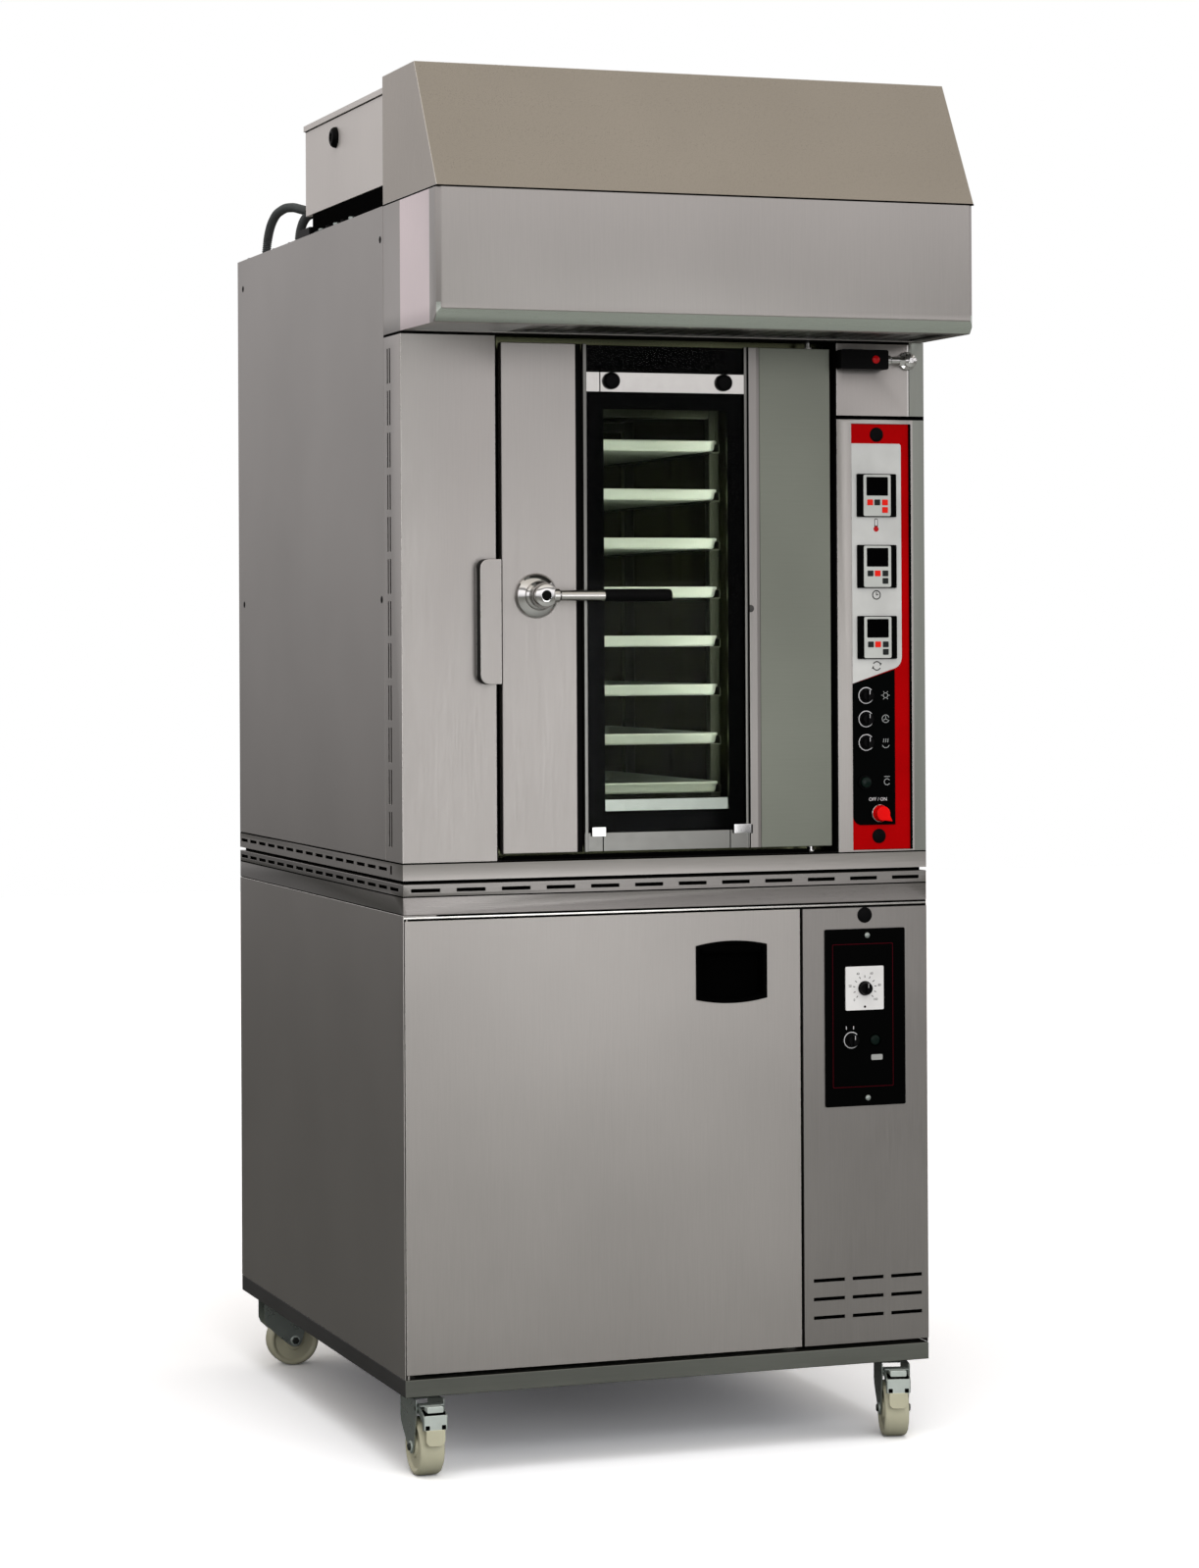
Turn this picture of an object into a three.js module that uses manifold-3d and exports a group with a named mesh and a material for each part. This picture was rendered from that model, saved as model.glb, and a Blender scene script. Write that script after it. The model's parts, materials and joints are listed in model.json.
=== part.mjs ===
// Rotating rack oven on a proving cabinet.
// Millimetres. X points right, Y points to the back and Z up. The origin is on the floor, in the middle of the
// footprint, which the hood's front edge and the body's back bound.
import * as THREE from "three";
import { mergeVertices } from "three/addons/utils/BufferGeometryUtils.js";
import Module from "manifold-3d";

const wasm = await Module();
wasm.setup();

// ---------------------------------------------------------------- driving dimensions

// Whole body
const BODY_WIDTH = 980;
const BODY_DEPTH = 1140;
const SHEET = 1.5;
const SEAT = 0.3; // left between two pieces that touch
const CASTER_HEIGHT = 140;
const BASE_HEIGHT = 30;

// Proving cabinet
const PROVER_HEIGHT = 794;
const PROVER_WALL = 28;
const TOP_BAND = 31;
const SLOT_BAND = 22;
const SHADOW_GAP = 6;
const TECH_WIDTH = 241; // technical compartment on the right
const PARTITION = 22;
const PROVER_DOOR_THICKNESS = 40;
const PROVER_DOOR_LIFT = 8; // above the base tray
const PROVER_DOOR_DROP = 10; // below the plain band
const PROVER_DOOR_GAP = 3;
const PROVER_LATCH_GAP = 5; // beside the technical panel
const PROVER_PIN_INSET = 4;
const PROVER_PIN_RADIUS = 2.5;
const PULL_WIDTH = 126;
const PULL_HEIGHT = 103;
const PULL_DEPTH = 28;
const PULL_FROM_EDGE = 68;
const RUNNER_LEVELS = 6;
const RUNNER_PITCH = 112;
const RUNNER_LEG = 34;

// Oven body
const PLINTH_HEIGHT = 30;
const PLINTH_FLANGE = 40;
const SHADOW_INSET = 12;
const OVEN_HEIGHT = 1137;
const CORNER_DEPTH = 103; // slotted corner pieces at the front
const JAMB_WIDTH = 170;
const CHAMBER_HALF_WIDTH = 385;
const CHAMBER_HALF_DEPTH = 381; // from the rack axis to the baffle, and to the throat
const THROAT_HALF_WIDTH = 265;
const FLOOR_RISE = 67; // chamber floor above the plinth
const CHAMBER_HEIGHT = 770;
const LINER = 2;
const FAN_SPACE = 81;
const INSULATION = 30;
const FRAME_SETBACK = 60; // chamber frame behind the front plane

// Hood and extractor
const HOOD_REACH = 215;
const HOOD_DROP = 225; // below the roof
const HOOD_SLOPE_HEIGHT = 224;
const HOOD_TOP_SETBACK = 128;
const HOOD_SHEET = 2;
const HOOD_BEVEL = 18;
const HOOD_BEVEL_HEIGHT = 22;
const HOOD_CORNER = 9;
const HOOD_RIM = 22; // round the mouth
const EXTRACTOR_INSET = 40; // from the body's sides
const EXTRACTOR_LENGTH = 660;
const EXTRACTOR_LIFT = 53; // above the roof
const EXTRACTOR_LID = 10;
const OUTLET_RADIUS = 90;

// Oven door
const DOOR_LEFT_GAP = 11;
const DOOR_RIGHT_GAP = 13;
const DOOR_LIFT = 12; // above the plinth
const DOOR_HEIGHT = 885;
const DOOR_THICKNESS = 55;
const DOOR_SKIN_DEPTH = 20;
const DOOR_STEP = 30; // the rear box is this much smaller all round
const DOOR_SHEET = 2;
const HINGE_INSET_X = 32;
const HINGE_INSET_Y = 25;
const HINGE_PIN_RADIUS = 6;
const GLASS_LEFT = 154; // of the door's width
const GLASS_WIDTH = 304;
const GLASS_THICKNESS = 6;
const WINDOW_SIDE = 22;
const WINDOW_BOTTOM = 70;
const WINDOW_TOP = 90;
const REBATE = 14; // the inner glass overlaps its opening
const LEVER_FROM_EDGE = 62;
const LEVER_HEIGHT = 458; // above the plinth
const LEVER_LENGTH = 232;
const LEVER_STANDOFF = 62;
const ROSETTE_RADIUS = 39;
const STRIKE_WIDTH = 38;
const STRIKE_HEIGHT = 215;
const STRIKE_LIFT = 306; // above the plinth
const STRIKE_CORNER = 16;
const STRIKE_DEPTH = 22;

// Rack and trays
const TRAY_WIDTH = 400;
const TRAY_LENGTH = 600;
const TRAY_DEPTH = 20;
const TRAY_SHEET = 1.5;
const TRAY_COUNT = 8;
const TRAY_PITCH = 89.5;
const FIRST_TRAY = 32; // underside above the chamber floor
const RACK_TUBE = 20;
const RACK_SHAFT_RADIUS = 12.5;
const RACK_PIN_RADIUS = 8;
const RACK_CLEARANCE = 28; // between the top frame and the ceiling

// Fan, heater and drive
const FAN_RADIUS = 185;
const FAN_WIDTH = 46;
const FAN_BLADES = 12;
const FAN_SHAFT_RADIUS = 8;
const HEATER_RADIUS = 225;
const HEATER_TUBE = 6;
const MOTOR_RADIUS = 62;
const MOTOR_LENGTH = 66;
const MOTOR_TUBE = 30;
const MOTOR_FLANGE = 80; // half its width
const GEARBOX = { half: 60, height: 90, motorRadius: 42, motorReach: 190 };

// Control column
const COLUMN_WIDTH = 170;
const FASCIA_WIDTH = 116;
const FASCIA_HEIGHT = 762;
const FASCIA_INSET = 26; // from the body's side
const FASCIA_RECESS = 3;
const FASCIA_THICKNESS = 3;
const CONTROLLER_WIDTH = 76;
const CONTROLLER_HEIGHT = 77;
const CONTROLLER_PITCH = 127;
const SWITCH_RADIUS = 13;
const SWITCH_HEIGHT = 17;
const SWITCH_PITCH = 42;
const SPINDLE_RADIUS = 3.5;
const SPINDLE_LENGTH = 14;

// Casters
const WHEEL_RADIUS = 50;
const WHEEL_WIDTH = 44;
const CASTER_TRAIL = 38;
const CASTER_INSET_X = 45;
const CASTER_INSET_Y = 72;
const FORK_SHEET = 2.5;
const AXLE_RADIUS = 6;
const CROWN_RISE = 34; // fork above its wheel
const MOUNT_RECESS = 9; // mounting plate above the tray's lower edge
const MOUNT_PLATE = 3;
const MOUNT_HALF = 38;

// ---------------------------------------------------------------- places worked out from them

const side = BODY_WIDTH / 2;
const hoodFront = -(BODY_DEPTH + HOOD_REACH) / 2;
const front = hoodFront + HOOD_REACH;
const back = front + BODY_DEPTH;
const rackY = (front + back) / 2;

const baseTop = CASTER_HEIGHT + BASE_HEIGHT;
const bandBottom = baseTop + PROVER_HEIGHT;
const slotBottom = bandBottom + TOP_BAND;
const slotTop = slotBottom + SLOT_BAND;
const plinthBottom = slotTop + SHADOW_GAP;
const plinthTop = plinthBottom + PLINTH_HEIGHT;
const floorZ = plinthTop + FLOOR_RISE;
const ceilingZ = floorZ + CHAMBER_HEIGHT;
const roofTop = plinthTop + OVEN_HEIGHT;
const hoodBottom = roofTop - HOOD_DROP;
const hoodSeam = roofTop + 1;
const hoodTop = hoodSeam + HOOD_SLOPE_HEIGHT;

const techLeft = side - TECH_WIDTH;
const proverFrame = front + PROVER_DOOR_THICKNESS + 5;
const frameFront = front + FRAME_SETBACK;
const throatEnd = rackY - CHAMBER_HALF_DEPTH;
const baffleY = rackY + CHAMBER_HALF_DEPTH;
const chamberBack = baffleY + FAN_SPACE;
const doorLeft = -side + JAMB_WIDTH + DOOR_LEFT_GAP;
const doorRight = side - COLUMN_WIDTH - DOOR_RIGHT_GAP;
const doorBottom = plinthTop + DOOR_LIFT;
const doorTop = doorBottom + DOOR_HEIGHT;
const doorAxis = [doorRight - HINGE_INSET_X, front + HINGE_INSET_Y];
const proverDoorAxis = [-side + PROVER_DOOR_GAP + PROVER_PIN_INSET, front + PROVER_PIN_INSET - 1];
const cornerBack = front + CORNER_DEPTH;
const fasciaRight = side - FASCIA_INSET;
const fasciaLeft = fasciaRight - FASCIA_WIDTH;
const fasciaBottom = plinthTop + 3;
const fasciaTop = fasciaBottom + FASCIA_HEIGHT;
const overlayFront = front + FASCIA_RECESS - SEAT - 1;
const mountBottom = CASTER_HEIGHT + MOUNT_RECESS;
const mountTop = mountBottom + MOUNT_PLATE;
const fanZ = (floorZ + ceilingZ) / 2;
const fanCentre = { x: 0, z: fanZ };

// ---------------------------------------------------------------- materials

function finish(color, roughness, metalness) {
  return new THREE.MeshStandardMaterial({ color, roughness, metalness });
}
const steel = finish(0xa8a09b, 0.35, 0.9);
const darkSteel = finish(0x6e6c68, 0.45, 0.9);
const zinc = finish(0xb8bdbb, 0.3, 0.9);
const chrome = finish(0xd6d6d6, 0.1, 1);
const aluminium = finish(0xb5b6b8, 0.4, 0.9);
const blackPlastic = finish(0x101010, 0.45, 0);
const redPlastic = finish(0xb00808, 0.35, 0);
const palePlastic = finish(0xcdcdcd, 0.4, 0);
const nylon = finish(0xc9c6a4, 0.5, 0);
const glass = finish(0x20242a, 0.05, 0);
const wool = finish(0xb9a24f, 0.95, 0);
const greyConduit = finish(0x4a4c4e, 0.6, 0);

// ---------------------------------------------------------------- solids

// A closed three.js geometry as a solid whose faces point outwards.
function solid(geometry) {
  const bare = new THREE.BufferGeometry();
  bare.setAttribute("position", geometry.getAttribute("position"));
  bare.setIndex(geometry.index);
  const merged = mergeVertices(bare, 1e-4);
  const corners = merged.index.array;
  const triVerts = [];
  for (let i = 0; i < corners.length; i += 3) {
    const [a, b, c] = [corners[i], corners[i + 1], corners[i + 2]];
    if (a !== b && b !== c && c !== a) triVerts.push(a, b, c);
  }
  const vertProperties = merged.getAttribute("position").array;
  const make = (order) => new wasm.Manifold(
    new wasm.Mesh({ numProp: 3, vertProperties, triVerts: new Uint32Array(order) }),
  );
  const made = make(triVerts);
  return made.volume() < 0 ? make(triVerts.reverse()) : made;
}

function join(first, ...others) {
  return others.reduce((all, next) => all.add(next), first);
}

function cut(from, ...tools) {
  return tools.reduce((rest, tool) => rest.subtract(tool), from);
}

function block(x0, x1, y0, y1, z0, z1) {
  const box = new THREE.BoxGeometry(x1 - x0, y1 - y0, z1 - z0);
  box.translate((x0 + x1) / 2, (y0 + y1) / 2, (z0 + z1) / 2);
  return solid(box);
}

// A round bar or disc along one axis, from one end to the other.
function rod(axis, centre, radius, from, to, sides = 20) {
  const bar = new THREE.CylinderGeometry(radius, radius, to - from, sides);
  const middle = (from + to) / 2;
  if (axis === "x") bar.rotateZ(Math.PI / 2).translate(middle, centre[0], centre[1]);
  if (axis === "y") bar.translate(centre[0], middle, centre[1]);
  if (axis === "z") bar.rotateX(Math.PI / 2).translate(centre[0], centre[1], middle);
  return solid(bar);
}

// A profile of [radius, height] turned about an axis through the origin: "x", "-y" or "z".
function turned(profile, axis, sides = 20) {
  const points = profile.map(([radius, height]) => new THREE.Vector2(radius, height));
  const shape = new THREE.LatheGeometry(points, sides);
  if (axis === "x") shape.rotateZ(-Math.PI / 2);
  if (axis === "-y") shape.rotateX(Math.PI);
  if (axis === "z") shape.rotateX(Math.PI / 2);
  return solid(shape);
}

function outline(points) {
  return new THREE.Shape(points.map(([u, v]) => new THREE.Vector2(u, v)));
}

// An outline of [x, y] from one height to another.
function upright(shape, z0, z1) {
  const form = new THREE.ExtrudeGeometry(shape, { depth: z1 - z0, bevelEnabled: false, curveSegments: 6 });
  return solid(form.translate(0, 0, z0));
}

// An outline of [y, z] across the width.
function across(shape, x0, x1) {
  const form = new THREE.ExtrudeGeometry(shape, { depth: x1 - x0, bevelEnabled: false, curveSegments: 6 });
  const turn = new THREE.Matrix4().makeBasis(
    new THREE.Vector3(0, 1, 0), new THREE.Vector3(0, 0, 1), new THREE.Vector3(1, 0, 0),
  );
  return solid(form.applyMatrix4(turn).translate(x0, 0, 0));
}

// An outline of [x, z], from its front plane to its back plane.
function facing(shape, y0, y1) {
  const form = new THREE.ExtrudeGeometry(shape, { depth: y1 - y0, bevelEnabled: false, curveSegments: 6 });
  const turn = new THREE.Matrix4().makeBasis(
    new THREE.Vector3(1, 0, 0), new THREE.Vector3(0, 0, 1), new THREE.Vector3(0, -1, 0),
  );
  return solid(form.applyMatrix4(turn).translate(0, y1, 0));
}

// A sheet folded along corners seen from above. A positive thickness lies on the left of the path.
function foldedSheet(corners, thickness, z0, z1) {
  const points = corners.map(([x, y]) => new THREE.Vector2(x, y));
  const normals = points.slice(1).map((p, i) => {
    const along = p.clone().sub(points[i]).normalize();
    return new THREE.Vector2(-along.y, along.x);
  });
  const offset = points.map((p, i) => {
    const before = normals[Math.max(i - 1, 0)];
    const after = normals[Math.min(i, normals.length - 1)];
    const mitre = before.clone().add(after).divideScalar(1 + before.dot(after));
    return p.clone().addScaledVector(mitre, thickness);
  });
  return upright(new THREE.Shape([...points, ...offset.reverse()]), z0, z1);
}

// A box of two skins, open on the faces named.
function hollowBlock(box, skin, open = []) {
  const [x0, x1, y0, y1, z0, z1] = box;
  const reach = (face) => (open.includes(face) ? -1 : skin);
  const inside = block(
    x0 + reach("left"), x1 - reach("right"), y0 + reach("front"), y1 - reach("back"),
    z0 + reach("bottom"), z1 - reach("top"),
  );
  return cut(block(...box), inside);
}

// ---------------------------------------------------------------- scene graph

const oven = new THREE.Group();

function piece(name, form, material, parent = oven) {
  const { vertProperties, triVerts } = form.getMesh();
  const geometry = new THREE.BufferGeometry();
  geometry.setAttribute("position", new THREE.BufferAttribute(vertProperties, 3));
  geometry.setIndex(new THREE.BufferAttribute(triVerts, 1));
  geometry.computeVertexNormals();
  const mesh = new THREE.Mesh(geometry, material);
  mesh.name = name;
  parent.add(mesh);
  return mesh;
}

function pivot(x, y, z, turn = 0) {
  const group = new THREE.Group();
  group.position.set(x, y, z);
  group.rotation.z = turn;
  oven.add(group);
  return group;
}

// ---------------------------------------------------------------- base and casters

const casters = [
  { name: "front_left", x: -side + CASTER_INSET_X, y: front + CASTER_INSET_Y, turn: 0, braked: true },
  { name: "front_right", x: side - CASTER_INSET_X, y: front + CASTER_INSET_Y, turn: -Math.PI / 12, braked: true },
  { name: "rear_left", x: -side + CASTER_INSET_X, y: back - CASTER_INSET_Y, turn: Math.PI / 2, braked: false },
  { name: "rear_right", x: side - CASTER_INSET_X, y: back - CASTER_INSET_Y, turn: -Math.PI / 2, braked: false },
];

function baseTray() {
  const tray = hollowBlock([-side, side, front, back, CASTER_HEIGHT, baseTop], 2 * SHEET, ["bottom"]);
  const pads = casters.map(({ x, y }) => {
    const half = MOUNT_HALF - 2;
    return join(
      block(x - half, x + half, y - half, y + half, mountTop - 1, baseTop - SHEET),
      block(x - MOUNT_HALF, x + MOUNT_HALF, y - MOUNT_HALF, y + MOUNT_HALF, mountBottom, mountTop),
    );
  });
  piece("base_tray", join(tray, ...pads), steel);
}

const forkInner = WHEEL_WIDTH / 2 + 1.2;
const forkOuter = forkInner + FORK_SHEET;
const forkTop = 2 * WHEEL_RADIUS + CROWN_RISE;
const PEDAL_PIN = { y: -64, z: forkTop - 14, radius: 4 };

function casterFork() {
  const cheek = outline([
    [24, forkTop], [24, forkTop - 50], [-CASTER_TRAIL + 12, WHEEL_RADIUS - 6], [-CASTER_TRAIL + 4, WHEEL_RADIUS - 12],
    [-CASTER_TRAIL - 6, WHEEL_RADIUS - 12], [-CASTER_TRAIL - 13, WHEEL_RADIUS - 4], [-70, PEDAL_PIN.z - 6],
    [-70, forkTop],
  ]);
  const crown = block(-forkOuter, forkOuter, -46, 24, forkTop - FORK_SHEET, forkTop);
  const headProfile = [[0, 0], [26, 0], [29, 5], [29, 10], [24, mountBottom - SEAT - forkTop + 1],
    [0, mountBottom - SEAT - forkTop + 1]];
  const head = turned(headProfile, "z", 16).translate([0, 0, forkTop - 1]);
  const axle = [-CASTER_TRAIL, WHEEL_RADIUS];
  const pin = [PEDAL_PIN.y, PEDAL_PIN.z];
  return join(
    crown, head,
    across(cheek, -forkOuter, -forkInner), across(cheek, forkInner, forkOuter),
    rod("x", axle, AXLE_RADIUS, -forkOuter, forkOuter, 16),
    rod("x", axle, AXLE_RADIUS + 3.5, -forkOuter - 5, -forkOuter + 1, 6),
    rod("x", axle, AXLE_RADIUS + 3.5, forkOuter - 1, forkOuter + 5, 6),
    rod("x", pin, PEDAL_PIN.radius, -forkOuter, forkOuter, 12),
  );
}

function casterWheel() {
  const half = WHEEL_WIDTH / 2;
  const bore = AXLE_RADIUS + SEAT + 0.1;
  const hubRadius = 0.36 * WHEEL_RADIUS;
  const flank = (sign) => [
    [bore, half], [hubRadius, half], [hubRadius + 2, half - 3], [WHEEL_RADIUS - 10, half - 3],
    [WHEEL_RADIUS - 4, half], [WHEEL_RADIUS, half - 4],
  ].map(([radius, height]) => [radius, sign * height]);
  return turned([...flank(-1), ...flank(1).reverse(), flank(-1)[0]], "x", 20);
}

function brakePedal() {
  const half = forkInner - 1.2;
  const top = PEDAL_PIN.z + 8;
  const lever = outline([
    [-58, top - 5], [-61, top], [-96, top], [-101, top - 4], [-101.5, 80], [-104.5, 57], [-103, 55], [-100.5, 56],
    [-98, 80], [-97, top - 7], [-71, top - 7], [-68, top - 12], [-60, top - 11],
  ]);
  const hole = rod("x", [PEDAL_PIN.y, PEDAL_PIN.z], PEDAL_PIN.radius + SEAT + 0.1, -half - 1, half + 1, 16);
  const hub = rod("x", [PEDAL_PIN.y, PEDAL_PIN.z], 6.6, -half, half, 16);
  return cut(join(across(lever, -half, half), hub), hole);
}

baseTray();
for (const { name, x, y, turn, braked } of casters) {
  const swivel = pivot(x, y, 0, turn);
  piece("caster_fork_" + name, casterFork(), zinc, swivel);
  const wheel = piece("caster_wheel_" + name, casterWheel(), nylon, swivel);
  wheel.position.set(0, -CASTER_TRAIL, WHEEL_RADIUS);
  if (braked) piece("brake_pedal_" + name, brakePedal(), zinc, swivel);
}

// ---------------------------------------------------------------- proving cabinet

const SLOT_HEIGHT = 6;
const SLOT_HALF = 26;

// Slots in a row, cut through a face: the places of their centres between two ends.
function spread(count, from, to) {
  const pitch = (to - from) / count;
  return Array.from({ length: count }, (_, i) => from + pitch * (i + 0.5));
}

function proverWalls() {
  const z0 = baseTop + SEAT;
  const z1 = bandBottom - SEAT;
  const wallBack = back - PROVER_WALL - SEAT;
  const leftInside = hollowBlock(
    [-side, -side + PROVER_WALL, proverFrame, wallBack, z0, z1], SHEET, ["top"],
  );
  const leftSkin = block(-side, -side + SHEET, front, proverFrame + 1, z0, z1);
  const leftEnd = block(-side, -side + SHEET, wallBack - 1, back, z0, z1);
  piece("prover_left_side", join(leftInside, leftSkin, leftEnd), steel);

  const rightSkin = foldedSheet([[side, front + SHEET + SEAT], [side, back]], SHEET, z0, z1);
  piece("prover_right_side", rightSkin, steel);

  const backX = side - SHEET - SEAT;
  piece("prover_back", hollowBlock([-backX, backX, wallBack + SEAT, back, z0, z1], SHEET, ["top"]), steel);

  const partition = [techLeft - PARTITION - 1, techLeft - 1, proverFrame, wallBack, z0, z1];
  piece("prover_partition", hollowBlock(partition, SHEET, ["top"]), steel);
}

// The cabinet's insulated top, whose edge shows as a plain band with a slotted strip above it.
function proverTop() {
  const SIDE_SLOTS = 16;
  const FRONT_SLOTS = 12;
  const SIDE_SETBACK = 18;
  const slotZ = slotBottom + SLOT_BAND / 2;
  const band = hollowBlock([-side, side, front, back, bandBottom, slotTop], SHEET, ["bottom"]);
  const stiffener = block(-side + 1, side - 1, front + 1, back - 1, slotBottom - SHEET, slotBottom);
  const under = block(-side + 1, side - 1, front + 1, back - 1, bandBottom, bandBottom + SHEET);
  const riser = hollowBlock([
    -side + SHADOW_INSET, side - SHADOW_INSET, front + SHADOW_INSET, back - SHADOW_INSET, slotTop - 1,
    plinthBottom - SEAT,
  ], SHEET);
  const frontSlots = spread(FRONT_SLOTS, -side, side).map((x) => block(
    x - SLOT_HALF, x + SLOT_HALF, front - 1, front + 2 * SHEET, slotZ - SLOT_HEIGHT / 2, slotZ + SLOT_HEIGHT / 2,
  ));
  const sideSlots = spread(SIDE_SLOTS, front + SIDE_SETBACK, back).map((y) => block(
    -side - 1, -side + 2 * SHEET, y - SLOT_HALF, y + SLOT_HALF, slotZ - SLOT_HEIGHT / 2, slotZ + SLOT_HEIGHT / 2,
  ));
  const vent = block(side - 60, side - 40, rackY - 40, rackY + 40, bandBottom - 1, plinthBottom);
  const airHole = block(-30, 30, back - 90, back - 60, slotTop - 2 * SHEET, plinthBottom);
  piece("prover_top", cut(join(band, stiffener, under, riser), ...frontSlots, ...sideSlots, vent, airHole), steel);
}

const VENT = { width: 60, height: 6, firstX: 48, pitchX: 75, firstZ: 57, pitchZ: 33, rows: 3 };

function proverFrontPanel() {
  const z0 = baseTop + PROVER_DOOR_LIFT;
  const z1 = bandBottom - PROVER_DOOR_DROP;
  const face = foldedSheet([[techLeft, front + 40], [techLeft, front], [side, front]], SHEET, z0, z1);
  const vents = [];
  for (let column = 0; column < VENT.rows; column++) {
    for (let row = 0; row < VENT.rows; row++) {
      const x = techLeft + VENT.firstX + column * VENT.pitchX;
      const z = baseTop + VENT.firstZ + row * VENT.pitchZ;
      vents.push(block(
        x - VENT.width / 2, x + VENT.width / 2, front - 1, front + 2 * SHEET, z - VENT.height / 2, z + VENT.height / 2,
      ));
    }
  }
  piece("prover_front_panel", cut(face, ...vents, rod(...proverThermostat.bore), rod(...proverSwitch.bore)), steel);
}

// A turning knob on a spindle, at [x, z] on a plane that faces front.
function knobPlace(x, z, plane) {
  return { x, z, plane, bore: ["y", [x, z], SPINDLE_RADIUS + SEAT + 0.1, plane - 20, plane + 20, 16] };
}

const CONTROL_PLATE = { width: 155, height: 316, right: 44, bottom: 430, thickness: 3 };
const THERMOSTAT_PLACE = { x: 75, z: 210 }; // on the plate, from its lower left corner
const PROVER_SWITCH_PLACE = { x: 50, z: 118 };
const plateFront = front - SEAT - CONTROL_PLATE.thickness;
const plateLeft = side - CONTROL_PLATE.right - CONTROL_PLATE.width;
const DIAL = { width: 74, height: 78, thickness: 3 };
const plateBottom = baseTop + CONTROL_PLATE.bottom;
const proverThermostat = knobPlace(
  plateLeft + THERMOSTAT_PLACE.x, plateBottom + THERMOSTAT_PLACE.z, plateFront - DIAL.thickness,
);
const proverSwitch = knobPlace(plateLeft + PROVER_SWITCH_PLACE.x, plateBottom + PROVER_SWITCH_PLACE.z, plateFront);

function proverControls() {
  const plate = block(
    plateLeft, plateLeft + CONTROL_PLATE.width, plateFront, front - SEAT,
    plateBottom, plateBottom + CONTROL_PLATE.height,
  );
  const { x, z } = proverThermostat;
  const dial = block(
    x - DIAL.width / 2, x + DIAL.width / 2, plateFront - DIAL.thickness, plateFront + 1,
    z - DIAL.height / 2, z + DIAL.height / 2,
  );
  const holes = [rod(...proverThermostat.bore), rod(...proverSwitch.bore)];
  piece("prover_control_plate", cut(join(plate, dial), ...holes), blackPlastic);
}

function proverDoor() {
  const x0 = -side + PROVER_DOOR_GAP;
  const x1 = techLeft - PROVER_LATCH_GAP;
  const z0 = baseTop + PROVER_DOOR_LIFT;
  const z1 = bandBottom - PROVER_DOOR_DROP;
  const pullX = x1 - PULL_FROM_EDGE - PULL_WIDTH / 2;
  const pullZ = z1 - 55 - PULL_HEIGHT / 2;
  // The pull's outline bulges at the top and bottom.
  const cup = (grow) => {
    const [w, h, bulge] = [PULL_WIDTH / 2 + grow, PULL_HEIGHT / 2 - 7 + grow, 7];
    const shape = new THREE.Shape();
    shape.moveTo(-w, -h);
    shape.quadraticCurveTo(0, -h - 2 * bulge, w, -h);
    shape.lineTo(w, h);
    shape.quadraticCurveTo(0, h + 2 * bulge, -w, h);
    return shape;
  };
  const cupForm = (grow, y0, y1) => facing(cup(grow), y0, y1).translate([pullX, 0, pullZ]);
  const shell = hollowBlock([x0, x1, front, front + PROVER_DOOR_THICKNESS, z0, z1], SHEET, ["bottom"]);
  const hole = cupForm(SEAT, front - 1, front + 2 * SHEET);
  const pins = [[baseTop + SEAT, z0 + 1], [z1 - 1, bandBottom - SEAT]].map(([from, to]) => rod(
    "z", proverDoorAxis, PROVER_PIN_RADIUS, from, to, 12,
  ));
  const hanger = block(x0 + 1, x0 + 14, front + 1, front + 14, z0, z0 + 2);
  piece("prover_door", join(cut(shell, hole), hanger, ...pins), steel);
  const wall = join(
    cupForm(0, front, front + PULL_DEPTH),
    cupForm(4, front - 2.5, front - SEAT),
    cupForm(-2, front - 1, front + 1),
  );
  piece("prover_door_pull", cut(wall, cupForm(-3, front - 4, front + PULL_DEPTH - 2)), blackPlastic);
}

// Tray runners on both sides of the proving chamber, joined at the back.
function proverTrayRack() {
  const TUBE = 16;
  const left = -side + PROVER_WALL + SEAT;
  const right = techLeft - 1 - PARTITION - SEAT;
  const y0 = proverFrame + 12;
  const y1 = back - PROVER_WALL - 12;
  const z0 = baseTop + SEAT;
  const z1 = bandBottom - 20;
  const parts = [];
  for (const [wall, inward] of [[left, 1], [right, -1]]) {
    const span = (from, to) => [wall + inward * from, wall + inward * to].sort((a, b) => a - b);
    for (const y of [y0 + 30, (y0 + y1) / 2, y1 - TUBE]) {
      parts.push(block(...span(0, TUBE), y, y + TUBE, z0, z1));
    }
    for (let level = 0; level < RUNNER_LEVELS; level++) {
      const z = z0 + 70 + level * RUNNER_PITCH;
      parts.push(block(...span(TUBE - 1, TUBE + RUNNER_LEG), y0, y1, z, z + SHEET));
      parts.push(block(...span(TUBE - 1, TUBE + SHEET), y0, y1, z, z + 14));
    }
  }
  for (const z of [z0, z1 - TUBE]) parts.push(block(left, right, y1 - TUBE, y1, z, z + TUBE));
  piece("prover_tray_rack", join(...parts), steel);
}

const TANK = { fromPartition: 40, width: 150, front: 150, rear: 130, height: 190, pipe: 18, pipeHeight: 130 };

// Open water tank with a steam pipe to the partition.
function proverHumidifier() {
  const x0 = techLeft + TANK.fromPartition;
  const z0 = baseTop + SEAT;
  const tank = hollowBlock(
    [x0, x0 + TANK.width, rackY - TANK.front, rackY + TANK.rear, z0, z0 + TANK.height], SHEET, ["top"],
  );
  const pipe = rod("x", [rackY, z0 + TANK.pipeHeight], TANK.pipe, techLeft - 1 + SEAT, x0 + 1, 16);
  piece("prover_humidifier", join(tank, pipe), steel);
}

proverWalls();
proverTop();
proverFrontPanel();
proverControls();
proverDoor();
proverTrayRack();
proverHumidifier();

// ---------------------------------------------------------------- oven casing

const TIE_SLOT = { fromFront: 72, width: 12, height: 15 };

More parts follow.
